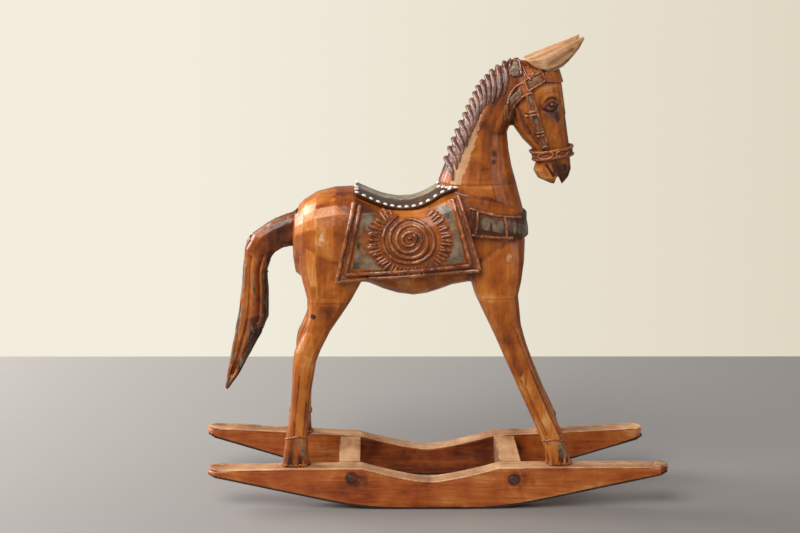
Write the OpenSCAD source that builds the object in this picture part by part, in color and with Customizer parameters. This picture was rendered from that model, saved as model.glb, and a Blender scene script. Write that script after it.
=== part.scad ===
// Hand-carved rocking horse on two curved rockers.
// Millimetres. The horse faces +X, its left side is +Y, and the rockers rest on z = 0.
// The carved pieces are lofts through a few hand-set sections, the applied trim follows their
// skins, and the pieces are pegged together with round dowels.

/* [Rockers] */
// Distance between the middles of the two rocker boards
rocker_pitch = 66; // [62:0.5:70]
// Thickness of each rocker board
rocker_t = 13.5; // [12:0.5:15]
// Length of each rocker, tip to tip
rocker_len = 305; // [296:1:314]
// How far the right rocker sits forward of the middle, and the left one back
stagger = 3; // [0:0.5:4]
// Height of the rocker tops where they are level
deck_z = 28.6; // [27:0.2:30]
// How deep the dip between the crossbars is
dip = 9.7; // [6:0.1:11]
// Thickness of the dark strip under each rocker
strip_t = 0.8; // [0.6:0.1:1.6]

/* [Crossbars] */
// Middle of the rear crossbar along X
rear_bar_x = -56; // [-57:0.5:-54]
// Middle of the front crossbar along X
front_bar_x = 51.5; // [50:0.5:53]
// Width of each crossbar along X
bar_w = 14.5; // [13:0.5:16]
// Height of each crossbar
bar_h = 14; // [12:0.5:16]

/* [Pegs and nails] */
// Diameter of the dowels that show in the rockers
bar_peg_d = 7; // [5:0.5:8]
// Diameter of the dowels between hooves and rockers
hoof_peg_d = 5; // [4:0.5:6]
// Diameter of the dowels between legs and body
leg_peg_d = 7; // [5:0.5:8]
// Diameter of the dowels between neck and body
neck_peg_d = 8; // [6:0.5:9]
// Diameter of the dowel that holds the tail
tail_peg_d = 7; // [5:0.5:8]

/* [Trim] */
// Thickness of the saddle seat and its flaps
saddle_t = 2.6; // [2:0.1:3.5]
// Thickness of the flat bridle and breast straps
strap_t = 1.5; // [1:0.1:2]
// Radius of the rope trim
rope_r = 1.05; // [0.8:0.05:1.3]
// Turns of the spiral on each flap
spiral_turns = 4; // [3:1:5]
// Rays round each spiral
ray_count = 44; // [30:1:50]
// Locks in each side of the mane
lock_count = 15; // [12:1:20]

/* [Hidden] */

right = -1;
left = 1;
fine = 48;
wood = [0.72, 0.4, 0.16];
dark_wood = [0.5, 0.25, 0.1];
pale_wood = [0.8, 0.6, 0.42];
putty = [0.5, 0.22, 0.14];
olive = [0.36, 0.34, 0.26];

rocker_in = rocker_pitch / 2 - rocker_t / 2;
rocker_out = rocker_pitch / 2 + rocker_t / 2;
kink_rear = -48.5;
kink_front = 43;
// Height of the crossbar dowels
rear_peg_z = 21.8;
front_peg_z = 20.6;

// Per side: heights of the rear and front tips, where the ramp starts, its slope
tip_rear_z = [27.3, 34.8];
tip_front_z = [29.3, 34.2];
ramp_x = [45, 62];
ramp_slope = [0.222, 0.31];
ramp_blend = 25;
tip_cut = 4.5;
rocker_steps = 32;
dip_steps = 16;
// Tall enough to hold the whole side outline of a board
board_h = 60;
// How far the crossbar dowels reach into the crossbars, and sit forward of their middles
bar_peg_reach = 12;
bar_peg_shift = 1.5;

// Carved sections: [start of the section, its end, middle along Y, half width, bluntness].
// Bluntness 2 is an ellipse, and a higher value is boxier.
// The barrel runs from rump to chest, each section from its top to its bottom.
barrel = [
    [[-94.2, 188], [-94.2, 163], 0, 11, 2.2],
    [[-92.5, 196], [-92.5, 153], 0, 19, 2.4],
    [[-87, 201.5], [-87, 149], 0, 25.5, 2.5],
    [[-78, 207], [-78, 147], 0, 30, 2.6],
    [[-66, 210.2], [-66, 147], 0, 32.3, 2.6],
    [[-54, 210.8], [-54, 147.5], 0, 32.5, 2.6],
    [[-44, 206.3], [-44, 146.6], 0, 31.8, 2.7],
    [[-34, 202.3], [-34, 142.4], 0, 31, 2.7],
    [[-24, 200.7], [-24, 139.4], 0, 30.6, 2.7],
    [[-14, 201.3], [-14, 138], 0, 30.5, 2.7],
    [[-5, 204.8], [-5, 139.2], 0, 30.4, 2.7],
    [[3, 210.2], [3, 141.6], 0, 30.2, 2.7],
    [[12, 213.8], [12, 145], 0, 30, 2.6],
    [[22, 213.8], [22, 146.8], 0, 29.6, 2.6],
    [[33, 213], [33, 147], 0, 29, 2.6],
    [[43, 210], [43, 146.5], 0, 27.5, 2.6],
    [[52, 205], [52, 147], 0, 24, 2.6],
    [[57.4, 198], [57.4, 149], 0, 18, 2.5],
    [[60.4, 186], [60.4, 157], 0, 10, 2.2]
];
// Shoulder and haunch blocks that carry the legs, bottom to top, each from back to front
shoulder = [
    [[25.5, 142], [55.6, 142], 20.5, 12, 2.8],
    [[22.5, 152], [58, 152], 18.5, 13, 2.7],
    [[20.5, 164], [59.6, 164], 16, 14, 2.6],
    [[21, 178], [59.6, 178], 13.5, 13.5, 2.5],
    [[25, 190], [56, 190], 10, 11, 2.4]
];
haunch = [
    [[-84.6, 139], [-53.5, 139], 20.8, 12.4, 2.8],
    [[-87.6, 150], [-47.5, 150], 19, 13.6, 2.7],
    [[-90.2, 162], [-44.5, 162], 17, 14.6, 2.6],
    [[-90.8, 176], [-45, 176], 15, 14.8, 2.5],
    [[-87, 190], [-50, 190], 12, 12.5, 2.4]
];
// Block under the neck, up to the seam
neck_seam_z = 215;
withers = [
    [[9, 178], [59.8, 178], 0, 24, 2.5],
    [[6.5, 196], [59.6, 196], 0, 22.5, 2.5],
    [[1.5, neck_seam_z], [54.3, neck_seam_z], 0, 20, 2.5]
];
// Neck from the seam up to the poll, each section from crest to throat
neck = [
    [[1.5, neck_seam_z], [54.3, neck_seam_z], 0, 20, 2.5],
    [[5.2, 225], [51.4, 225], 0, 17.5, 2.4],
    [[9.2, 236], [49.2, 236], 0, 15.6, 2.4],
    [[13.6, 247], [48, 247], 0, 14.6, 2.3],
    [[18.6, 258], [52, 258], 0, 13.8, 2.3],
    [[23, 268], [60, 268], 0, 13, 2.3],
    [[28, 278], [66, 278], 0, 11.8, 2.3],
    [[35, 286], [70, 286], 0, 10, 2.2],
    [[42, 291], [68, 291], 0, 8, 2.2],
    [[50, 294], [62, 294], 0, 5, 2]
];
// Head from the poll down to the lips, each section from face to jaw
head = [
    [[71, 294], [50, 293], 0, 6, 2.2],
    [[79, 288], [46, 284], 0, 11.5, 2.4],
    [[82, 279], [45.5, 273], 0, 14.2, 2.5],
    [[83.8, 268], [46.5, 263], 0, 15, 2.5],
    [[85.4, 258], [49.5, 252], 0, 14.2, 2.5],
    [[87.2, 247], [56.5, 242.5], 0, 12, 2.5],
    [[88.8, 238], [63.6, 235.5], 0, 10, 2.5],
    [[89.4, 231], [66.2, 228.5], 0, 9, 2.5],
    [[90.3, 223], [64.2, 222], 0, 9.2, 2.4],
    [[88.6, 217.5], [67.5, 216.5], 0, 8.2, 2.4],
    [[85.2, 213.2], [76, 212.8], 0, 5.5, 2.2]
];
mouth_slit = [[80.6, 219.8], [78.4, 211], [85, 211]];
// Ears, base to tip, each section from its top edge to its bottom edge
ear = [
    [[57, 295.4], [66.4, 288], 7.6, 4, 2.2],
    [[60.6, 296.8], [73.6, 286.6], 8, 5.2, 2.2],
    [[67.4, 299.6], [81, 290.3], 8.9, 4.8, 2.2],
    [[76.8, 303.1], [86.4, 295.6], 10, 4, 2.2],
    [[86, 306.5], [90.8, 301.6], 11.2, 2.8, 2.1],
    [[93.2, 309.9], [94.2, 308.8], 12.4, 0.9, 2]
];
// Tail, tip to root, each section from its outer edge to its inner edge
tail_seat_x = -90.5;
tail_run = [
    [[-140.3, 71.6], [-138.9, 71.8], 0, 0.9, 2],
    [[-138.2, 84], [-129.6, 84.5], 0, 3.4, 2.2],
    [[-134.6, 101.8], [-119.8, 102.5], 0, 5.6, 2.4],
    [[-131.6, 121], [-109.5, 122], 0, 7.4, 2.5],
    [[-129.2, 140], [-109.2, 140], 0, 8.2, 2.5],
    [[-127.8, 156], [-110, 154], 0, 8.4, 2.5],
    [[-125.8, 170], [-107.4, 162.5], 0, 8.4, 2.5],
    [[-120.6, 180], [-104.5, 166], 0, 8.4, 2.5],
    [[-108.6, 188.4], [-99.5, 168.8], 0, 8.6, 2.4],
    [[tail_seat_x, 196], [tail_seat_x, 170], 0, 9, 2.4]
];
// Legs from below the rocker tops up to the seams, each section from back to front
front_leg = [
    [[75.6, 26], [93.2, 26], 30.5, 6.5, 3],
    [[73.2, 38], [90.3, 38], 30.4, 6.4, 3],
    [[68.6, 50], [86.4, 50], 30, 6.6, 3],
    [[62, 64], [79.6, 64], 29, 7.2, 2.8],
    [[50.2, 90], [68.8, 90], 26.8, 8.2, 2.8],
    [[41, 110], [61.5, 110], 24.6, 9.4, 2.8],
    [[35, 123], [57.6, 123], 23, 10.4, 2.8],
    shoulder[0]
];
hind_leg = [
    [[-101.4, 26], [-82.4, 26], 30.5, 6.7, 3],
    [[-100.2, 40], [-82.6, 40], 30.4, 6.6, 3],
    [[-98.6, 50], [-82.6, 50], 30.2, 6.4, 3],
    [[-96.3, 62], [-82.2, 62], 29.6, 6.5, 3],
    [[-94.7, 82], [-79.7, 82], 28.2, 7.2, 2.8],
    [[-94.2, 98], [-77, 98], 26.8, 8.2, 2.8],
    [[-92.8, 106], [-74, 106], 26, 8.8, 2.8],
    [[-86.8, 119], [-67.5, 119], 24, 9.8, 2.8],
    [[-84.4, 129], [-60.4, 129], 22.4, 11, 2.8],
    haunch[0]
];
leg_points = 16;
body_points = 24;

// Joints between the pieces
front_peg_at = [41, 21];
hind_peg_at = [-69, 21];
front_hoof_at = [83.6, 30.6];
hind_hoof_at = [-92, 30.6];
neck_peg_x = [18, 38];
neck_peg_h = 30;
tail_peg_z = 182;
tail_peg_h = 28;

// Saddle: where the seat starts, where it ends and where it dips lowest
seat_rear_x = -52;
seat_front_x = 16.5;
seat_low_x = -20;
// Flap outline, corners at the seat and at the hem
flap_top_rear = [-52.5, 206.5];
flap_top_front = [14.5, 209.5];
flap_hem_rear = [-64.5, 153.5];
flap_hem_front = [29, 160.5];
spiral_at = [-15.8, 181.2];
spiral_out_r = 18;
spiral_squash = 0.9;
ray_in = 20.5;
ray_out = 26.5;
// The rays leave a gap under the seat: angle of the first ray, and how far round they go
ray_from = 125;
ray_sweep = 290;

function mix(a, b, t) = a + (b - a) * t;
function bend(v, e) = sign(v) * pow(abs(v), e);
function side_index(side) = side == right ? 0 : 1;

// Section of a loft at a fractional index
function section(s, i) =
    let (k = min(floor(i), len(s) - 2), t = i - k)
    [for (j = [0:4]) mix(s[k][j], s[k + 1][j], t)];

// Point on a section at an angle, 0 at its end, 90 towards +Y, 180 at its start
function on_section(q, a, grow = 0) =
    let (d = q[1] - q[0], l = norm(d), u = d / l, m = (q[0] + q[1]) / 2, e = 2 / q[4],
         c = (l / 2 + grow) * bend(cos(a), e), w = (q[3] + grow) * bend(sin(a), e))
    [m[0] + u[0] * c, q[2] + w, m[1] + u[1] * c];

function on_skin(s, i, a, grow = 0) = on_section(section(s, i), a, grow);

// Faces of a grid of rings, closed round each ring, with two flat ends
function ring_faces(rings, n) = concat(
    [[for (j = [0:n - 1]) j]],
    [for (i = [0:rings - 2], j = [0:n - 1])
        let (a = i * n + j, b = i * n + (j + 1) % n) each [[a, a + n, b], [b, a + n, b + n]]],
    [[for (j = [n - 1:-1:0]) (rings - 1) * n + j]]
);

module loft(s, n, grow = 0) {
    points = [for (q = s, j = [0:n - 1]) on_section(q, 360 * j / n, grow)];
    polyhedron(points, ring_faces(len(s), n), convexity = 4);
}

// A loft moved to one side of the body
module sided_loft(s, n, side) {
    if (side == left) loft(s, n);
    else mirror([0, 1, 0]) loft(s, n);
}

// Rope of a given radius swept along points
function side_vector(t) = let (c = cross(t, [0, 1, 0])) norm(c) < 0.05 ? [1, 0, 0] : c / norm(c);
function tangent(p, i) =
    let (d = p[min(i + 1, len(p) - 1)] - p[max(i - 1, 0)]) d / norm(d);
rope_facets = 6;
module rope(p, r, tip = 0.55) {
    n = rope_facets;
    last = len(p) - 1;
    points = [for (i = [0:last], j = [0:n - 1])
        let (t = tangent(p, i), u = side_vector(t), v = cross(t, u), a = 360 * j / n,
             k = (i == 0 || i == last) ? tip : 1)
        p[i] + (u * cos(a) + v * sin(a)) * r * k];
    polyhedron(points, ring_faces(last + 1, n), convexity = 6);
}

// Thin plate between two skins: grids of outer and inner points, row by row
module plate(outer, inner, rows, cols) {
    n = rows * cols;
    top = [for (i = [0:rows - 2], j = [0:cols - 2])
        let (a = i * cols + j) each [[a, a + 1, a + cols], [a + 1, a + cols + 1, a + cols]]];
    under = [for (f = top) [f[2] + n, f[1] + n, f[0] + n]];
    rim = concat(
        [for (j = [0:cols - 2]) [j, j + 1]],
        [for (i = [0:rows - 2]) [(i + 1) * cols - 1, (i + 2) * cols - 1]],
        [for (j = [cols - 2:-1:0]) [(rows - 1) * cols + j + 1, (rows - 1) * cols + j]],
        [for (i = [rows - 2:-1:0]) [(i + 1) * cols, i * cols]]
    );
    edge = [for (e = rim) each [[e[1], e[0], e[1] + n], [e[0], e[0] + n, e[1] + n]]];
    polyhedron(concat(outer, inner), concat(top, under, edge), convexity = 4);
}

// Index of the barrel or the neck section at a given X or height
function index_at(s, k, v) =
    let (m = [for (q = s) (q[0][k] + q[1][k]) / 2], n = len(s) - 1,
         i = [for (j = [0:n - 1]) if (v >= m[j] && v <= m[j + 1]) j],
         c = len(i) > 0 ? i[0] : (v < m[0] ? 0 : n - 1))
    c + max(0, min(1, (v - m[c]) / (m[c + 1] - m[c])));

// Distance of a loft's skin from its middle plane, in a section made of points at one X or height
function half_width(q, along) =
    let (d = norm(q[1] - q[0]) / 2, k = min(1, abs(along) / d))
    q[3] * pow(1 - pow(k, q[4]), 1 / q[4]);
function barrel_y(x, z) =
    let (q = section(barrel, index_at(barrel, 0, x))) half_width(q, z - (q[0][1] + q[1][1]) / 2);
function neck_y(x, z) =
    let (q = section(neck, index_at(neck, 1, z))) half_width(q, x - (q[0][0] + q[1][0]) / 2);

// ---------------------------------------------------------------- rockers

function under(x, side) =
    let (k = side_index(side), r = ramp_x[k], s = ramp_slope[k], a = abs(x), b = ramp_blend)
    a < r - b ? 0 : a > r + b ? (a - r) * s : s * pow(a - r + b, 2) / (4 * b);
function tip_x(side, end) = end * rocker_len / 2 - side * stagger;
function span(side, steps) =
    [for (i = [0:steps]) mix(tip_x(side, -1), tip_x(side, 1), i / steps)];
function dip_top(steps) =
    [for (i = [0:steps]) let (t = 1 - 2 * i / steps)
        [mix(kink_rear, kink_front, (t + 1) / 2), deck_z - dip * (1 - pow(abs(t), 1.4))]];

module rocker_side(side) {
    k = side_index(side);
    polygon(concat(
        [for (x = span(side, rocker_steps)) [x, under(x, side) + strip_t]],
        [[tip_x(side, 1), tip_front_z[k]]],
        dip_top(dip_steps),
        [[tip_x(side, -1), tip_rear_z[k]]]
    ));
}

// Board outline seen from above, with its corners cut off
module rocker_plan(side) {
    r = tip_x(side, -1);
    f = tip_x(side, 1);
    c = tip_cut;
    t = rocker_t;
    polygon([[r, c], [r + c, 0], [f - c, 0], [f, c], [f, t - c], [f - c, t], [r + c, t], [r, t - c]]);
}

module board(side, height) {
    intersection() {
        translate([0, side * rocker_pitch / 2 + rocker_t / 2, 0]) rotate([90, 0, 0])
            linear_extrude(rocker_t) children();
        translate([0, side * rocker_pitch / 2 - rocker_t / 2, -1])
            linear_extrude(height) rocker_plan(side);
    }
}

module peg_y(x, z, d, y0, y1) {
    translate([x, y1, z]) rotate([90, 0, 0]) cylinder(h = y1 - y0, d = d, $fn = fine);
}

module crossbar_pegs(side) {
    depth = rocker_t + bar_peg_reach;
    y0 = side == right ? -rocker_out : rocker_out - depth;
    peg_y(rear_bar_x + bar_peg_shift, rear_peg_z, bar_peg_d, y0, y0 + depth);
    peg_y(front_bar_x + bar_peg_shift, front_peg_z, bar_peg_d, y0, y0 + depth);
}

// Hoof pegs stand in the rocker and in the hoof
hoof_peg_z0 = 21;
hoof_peg_h = 20;
module hoof_peg(at, side) {
    translate([at[0], side * at[1], hoof_peg_z0])
        cylinder(h = hoof_peg_h, d = hoof_peg_d, $fn = fine);
}

module rocker(side) {
    color(wood) difference() {
        board(side, board_h) rocker_side(side);
        crossbar_pegs(side);
        hoof_peg(front_hoof_at, side);
        hoof_peg(hind_hoof_at, side);
    }
}

module runner_strip(side) {
    xs = span(side, rocker_steps);
    color("black") board(side, board_h) polygon(concat(
        [for (x = xs) [x, under(x, side)]],
        [for (i = [len(xs) - 1:-1:0]) [xs[i], under(xs[i], side) + strip_t]]
    ));
}

module crossbar(x) {
    color(pale_wood) difference() {
        translate([x - bar_w / 2, -rocker_in, deck_z - bar_h])
            cube([bar_w, 2 * rocker_in, bar_h]);
        crossbar_pegs(right);
        crossbar_pegs(left);
    }
}

// ---------------------------------------------------------------- legs

leg_peg_h = 26;
module leg_peg(at, z, side) {
    translate([at[0], side * at[1], z - leg_peg_h / 2])
        cylinder(h = leg_peg_h, d = leg_peg_d, $fn = fine);
}

// Everything below the rocker's top edge, to stand a leg on it
module below_deck(side) {
    k = side_index(side);
    translate([0, board_h, 0]) rotate([90, 0, 0]) linear_extrude(2 * board_h)
        polygon([[tip_x(side, -1), tip_rear_z[k]], [kink_rear, deck_z], [kink_front, deck_z],
                 [tip_x(side, 1), tip_front_z[k]], [tip_x(side, 1), 0], [tip_x(side, -1), 0]]);
}

module leg(s, side, hoof_at, peg_at) {
    color(wood) difference() {
        sided_loft(s, leg_points, side);
        below_deck(side);
        hoof_peg(hoof_at, side);
        leg_peg(peg_at, s[len(s) - 1][0][1], side);
        if (s == hind_leg) nail(side);
    }
}

// Iron nail that pins the top of each hind leg, from the outside inwards and forwards
nail_at = [-80.4, 32.3, 130.2];
nail_tip = [-60.7, 20, 127.6];
nail_d = 1.6;
nail_proud = 0.4;
module nail(side, head = false) {
    run = nail_tip - nail_at;
    translate([nail_at[0], side * nail_at[1], nail_at[2]])
        rotate([0, acos(run[2] / norm(run)), side * atan2(run[1], run[0])]) {
            cylinder(h = norm(run), d = nail_d, $fn = fine);
            if (head) translate([0, 0, -nail_proud])
                cylinder(h = 3 * nail_proud, d = 2 * nail_d, $fn = fine);
        }
}

// Thin band laid round the outer half of a hoof, between two places along the leg
band_r = 0.7;
module hoof_band(s, low, high, side) {
    path = [for (a = [-80:20:160])
        let (p = on_skin(s, mix(low, high, (1 - cos(a - 20)) / 2), a, band_r / 5))
        [p[0], side * p[1], p[2]]];
    color(putty) rope(path, band_r);
}

// ---------------------------------------------------------------- body and neck

module neck_pegs() {
    for (x = neck_peg_x) translate([x, 0, neck_seam_z - neck_peg_h / 2])
        cylinder(h = neck_peg_h, d = neck_peg_d, $fn = fine);
}

module tail_peg() {
    translate([tail_seat_x - tail_peg_h / 2, 0, tail_peg_z]) rotate([0, 90, 0])
        cylinder(h = tail_peg_h, d = tail_peg_d, $fn = fine);
}

// Flat cut in the rump that the tail stands against
tail_seat_w = 20;
tail_seat_z = [167, 199];
module tail_seat() {
    translate([tail_seat_x - tail_seat_w, -tail_seat_w / 2, tail_seat_z[0]])
        cube([tail_seat_w, tail_seat_w, tail_seat_z[1] - tail_seat_z[0]]);
}

module body() {
    color(wood) difference() {
        union() {
            loft(barrel, body_points);
            loft(withers, body_points);
            for (side = [right, left]) {
                sided_loft(shoulder, leg_points, side);
                sided_loft(haunch, leg_points, side);
            }
        }
        tail_seat();
        neck_pegs();
        tail_peg();
        for (side = [right, left]) {
            leg_peg(front_peg_at, shoulder[0][0][1], side);
            leg_peg(hind_peg_at, haunch[0][0][1], side);
        }
    }
}

module neck_and_head() {
    color(wood) difference() {
        union() {
            loft(neck, body_points);
            loft(head, body_points);
        }
        side_cut(0) polygon(mouth_slit);
        neck_pegs();
        for (side = [right, left]) sided_loft(ear, leg_points, side);
    }
}

module ear_piece(side) {
    color(pale_wood) sided_loft(ear, leg_points, side);
}

eye_at = [75.4, 13.2, 266.2];
eye_r = 2.4;
module eyes() {
    color(dark_wood) for (side = [right, left])
        translate([eye_at[0], side * eye_at[1], eye_at[2]]) sphere(r = eye_r, $fn = fine);
}

module tail() {
    color(wood) difference() {
        loft(tail_run, leg_points);
        tail_peg();
    }
}

// ---------------------------------------------------------------- saddle

// Seat edge: angle away from the top line that the seat covers, at a place along X
function seat_angle(x) =
    x < seat_low_x ? mix(27, 31, (x - seat_rear_x) / (seat_low_x - seat_rear_x))
                   : mix(31, 29, pow((x - seat_low_x) / (seat_front_x - seat_low_x), 1.5));
seat_rows = 18;
seat_cols = 13;
function seat_grid(g) = [for (i = [0:seat_rows - 1], j = [0:seat_cols - 1])
    let (x = mix(seat_rear_x, seat_front_x, i / (seat_rows - 1)), a = seat_angle(x))
    on_skin(barrel, index_at(barrel, 0, x), 180 + mix(a, -a, j / (seat_cols - 1)), g)];

module saddle_seat() {
    color(olive) difference() {
        plate(seat_grid(saddle_t), seat_grid(-1), seat_rows, seat_cols);
        loft(barrel, body_points);
        loft(withers, body_points);
        loft(neck, body_points);
    }
}

bead_r = 1.4;
bead_count = 15;
// How far the first and last beads stand in from the ends of the seat, and the row from its edge
bead_from = 1;
bead_to = 3;
bead_angle = 3;
bead_sit = 0.2;
module seat_beads(side) {
    color("white") for (i = [0:bead_count - 1]) {
        x = mix(seat_rear_x + bead_from, seat_front_x - bead_to, i / (bead_count - 1));
        p = on_skin(barrel, index_at(barrel, 0, x), 180 - side * (seat_angle(x) - bead_angle),
                    saddle_t + bead_sit);
        translate(p) sphere(r = bead_r, $fn = fine);
    }
}

// How far the top edge of the flap dips under the seat
flap_dip = 10;

// Point of the flap at a share of its width and of its height, g out from the body
function flap_top(u) =
    let (p = mix(flap_top_rear, flap_top_front, u)) [p[0], p[1] - flap_dip * (1 - pow(2 * u - 1, 2))];
function flap_xz(u, v) = mix(flap_top(u), mix(flap_hem_rear, flap_hem_front, u), v);
// The flap lies on the barrel, or on the haunch or the shoulder where they stand out further
function flank_y(x, z) = max(barrel_y(x, z), block_y(haunch, x, z), block_y(shoulder, x, z));
function flap_surface(p, side, g) = [p[0], side * (flank_y(p[0], p[1]) + g), p[1]];
function flap_point(u, v, side, g) = flap_surface(flap_xz(u, v), side, g);
flap_rows = 9;
flap_cols = 17;
module saddle_flap(side) {
    function grid(g) = [for (i = [0:flap_rows - 1], j = [0:flap_cols - 1])
        let (u = side == right ? j / (flap_cols - 1) : 1 - j / (flap_cols - 1))
        flap_point(u, i / (flap_rows - 1), side, g)];
    color(wood) plate(grid(saddle_t), grid(0), flap_rows, flap_cols);
}

// Rope along both edges of the flap and its hem, in two lines. Insets are shares of the width,
// the hem inset is that much larger as a share of the height, and the rope starts below the seat.
border_insets = [0.012, 0.07];
border_hem = 1.4;
border_top = 0.06;
module flap_border(side) {
    color(putty) for (d = border_insets) {
        hem = 1 - d * border_hem;
        path = concat(
            [for (v = [border_top:0.13:hem]) [d, v]],
            [for (u = [d:0.08:1 - d]) [u, hem]],
            [for (v = [hem:-0.13:border_top]) [1 - d, v]]
        );
        rope([for (q = path) flap_point(q[0], q[1], side, saddle_t + rope_r * 0.3)], rope_r);
    }
}

// The spiral winds inwards from its outer end, which is at this angle above the front
spiral_end = 118;
spiral_in_r = 1.5;
spiral_facets = 20;
module spiral(side) {
    steps = spiral_turns * spiral_facets;
    path = [for (i = [0:steps])
        let (a = spiral_end + 360 * (steps - i) / spiral_facets,
             r = mix(spiral_in_r, spiral_out_r, i / steps))
        flap_surface(spiral_at + r * [cos(a), spiral_squash * sin(a)], side,
                     saddle_t + rope_r * 0.3)];
    color(putty) rope(path, rope_r);
}

module sun_rays(side) {
    color(putty) for (i = [0:ray_count - 1]) {
        a = ray_from + ray_sweep * i / (ray_count - 1);
        d = [cos(a), spiral_squash * sin(a)];
        path = [for (r = [ray_in, (ray_in + ray_out) / 2, ray_out])
            flap_surface(spiral_at + r * d, side, saddle_t + rope_r * 0.2)];
        rope(path, rope_r * 0.85, tip = 0.6);
    }
}

// ---------------------------------------------------------------- breast strap

// The strap slopes down a little towards the chest, and wraps it from flap to flap
strap_low = [183.3, 179];
strap_high = [202, 191.5];
strap_from_x = 22;
chest_x = 60;
chest_mid_x = 20;
function strap_z(v, x) =
    let (t = (x - strap_from_x) / (chest_x - strap_from_x))
    mix(mix(strap_low[0], strap_low[1], t), mix(strap_high[0], strap_high[1], t), v);

function block_y(s, x, z) =
    let (q = section(s, index_at(s, 1, z)), m = (q[0][0] + q[1][0]) / 2)
    z > s[len(s) - 1][0][1] || abs(x - m) > (q[1][0] - q[0][0]) / 2 ? 0
        : q[2] + half_width(q, x - m);
function fore_y(x, z) = x > chest_x + 0.4 ? 0
    : max(barrel_y(x, z), block_y(withers, x, z), block_y(shoulder, x, z));

// Reach of the forebody from its middle, level, in a direction away from the chest front
function reach(a, z, lo = 0, hi = 60, steps = 14) =
    steps == 0 ? lo
    : let (m = (lo + hi) / 2, in = abs(m * sin(a)) < fore_y(chest_mid_x + m * cos(a), z))
      reach(a, z, in ? m : lo, in ? hi : m, steps - 1);
function chest_point(a, v, g) =
    let (z = strap_z(v, chest_mid_x + 30 * cos(a)), r = reach(abs(a), z) + g)
    [chest_mid_x + r * cos(a), r * sin(a), z];
strap_half_angle = 84;
strap_cols = 29;
strap_rows = 4;
function strap_angle(j) = mix(strap_half_angle, -strap_half_angle, j / (strap_cols - 1));
module breast_strap() {
    function grid(g) = [for (i = [0:strap_rows - 1], j = [0:strap_cols - 1])
        chest_point(strap_angle(j), i / (strap_rows - 1), g)];
    color(olive) plate(grid(strap_t), grid(0), strap_rows, strap_cols);
}

// Trim: its edge lines as shares of the strap's height, and the angles of its cross pieces
strap_edges = [0.03, 0.97];
strap_bars = [50, 80];
trim_lift = 0.4;
module strap_trim() {
    color(putty) {
        for (v = strap_edges)
            rope([for (j = [0:strap_cols - 1]) chest_point(strap_angle(j), v, strap_t + trim_lift)],
                 rope_r);
        for (side = [right, left], a = strap_bars)
            rope([for (v = [0.1:0.16:0.9]) chest_point(side * a, v, strap_t + trim_lift)],
                 rope_r * 0.85);
    }
}

// ---------------------------------------------------------------- mane

// One lock: from the crest down the side of the neck
function crest_x(z) = lookup(z, [for (q = neck) [q[0][1], q[0][0]]]);
lock_top_z = 291;
lock_low_z = 228.5;
lock_r = 1.6;
// How far the lowest and highest locks hang, how far they lean forward, and how far they bow.
// They stand closer together towards the poll.
lock_drop = [10.5, 18];
lock_lean = [3.6, -1.2];
lock_bow = 0.8;
lock_closing = 0.45;
lock_steps = 6;
module mane(side) {
    color(putty) for (i = [0:lock_count - 1]) {
        t = i / (lock_count - 1);
        z = mix(lock_low_z, lock_top_z, t * (1 + lock_closing - lock_closing * t));
        x = crest_x(z);
        drop = mix(lock_drop[0], lock_drop[1], pow(t, 1.2));
        lean = mix(lock_lean[0], lock_lean[1], t);
        path = [for (k = [0:lock_steps])
            let (f = k / lock_steps, pz = z - drop * f,
                 px = max(x + 0.4 + lean * f + lock_bow * sin(180 * f), crest_x(pz) + 0.4))
            [px, side * (neck_y(px, pz) + lock_r / 4), pz]];
        rope(path, lock_r, tip = 0.45);
    }
}

// ---------------------------------------------------------------- bridle

// Outlines seen from the side
crown_outline = [[45.4, 300], [48.8, 284.4], [55.3, 285], [52.8, 300]];
browband_outline = [[55.8, 282], [67.8, 288.2], [71, 281.8], [58.8, 274.3]];
forelock_outline = [[69.6, 291], [70.6, 281], [86, 280], [86, 291]];
throat_outline = [[54, 277.2], [48, 271], [44, 265], [44, 256], [48.5, 256], [50, 263], [55.6, 271.6]];
cheek_outline = [[57.2, 273.2], [61.4, 275.4], [66.8, 258], [73.5, 238.6], [68.3, 237], [61, 258]];
noseband_outline = [[60, 234], [92, 239.4], [92, 232.2], [60, 227]];
buckle_at = [[61.8, 261], [67.4, 247.6]];
buckle_w = 7.5;
buckle_h = 3.4;
buckle_tilt = 12;
buckle_t = 1;
side_deep = 40;

// Shell round the neck and head between two distances from their skins
module head_layer(from, to) {
    difference() {
        intersection() {
            union() {
                loft(neck, body_points, to);
                loft(head, body_points, to);
            }
            children();
        }
        loft(neck, body_points, from);
        loft(head, body_points, from);
    }
}

// Outline run through one side of the head, or through both with side 0
module side_cut(side) {
    translate([0, side == right ? 0 : side_deep, 0]) rotate([90, 0, 0])
        linear_extrude(side == 0 ? 2 * side_deep : side_deep) children();
}

module crownpiece() {
    color(olive) head_layer(0, strap_t) side_cut(0) polygon(crown_outline);
}

module browband(side) {
    color(olive) head_layer(0, strap_t) side_cut(side) polygon(browband_outline);
}

module forelock() {
    color(wood) difference() {
        head_layer(0, strap_t) side_cut(0) polygon(forelock_outline);
        for (side = [right, left]) sided_loft(ear, leg_points, side);
    }
}

module throat_latch(side) {
    color(olive) head_layer(0, strap_t) side_cut(side) polygon(throat_outline);
}

module cheek_strap(side) {
    color(olive) head_layer(0, strap_t) side_cut(side) polygon(cheek_outline);
}

module noseband() {
    color(olive) head_layer(0, strap_t) side_cut(0) polygon(noseband_outline);
}

module bridle_buckles() {
    color(putty) head_layer(strap_t, strap_t + buckle_t) side_cut(0) for (at = buckle_at)
        translate(at) rotate(buckle_tilt) square([buckle_w, buckle_h], center = true);
}

module crossbar_dowels() {
    color(dark_wood) for (side = [right, left]) crossbar_pegs(side);
}

module hoof_dowels() {
    color(pale_wood) for (side = [right, left], at = [front_hoof_at, hind_hoof_at])
        hoof_peg(at, side);
}

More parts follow.
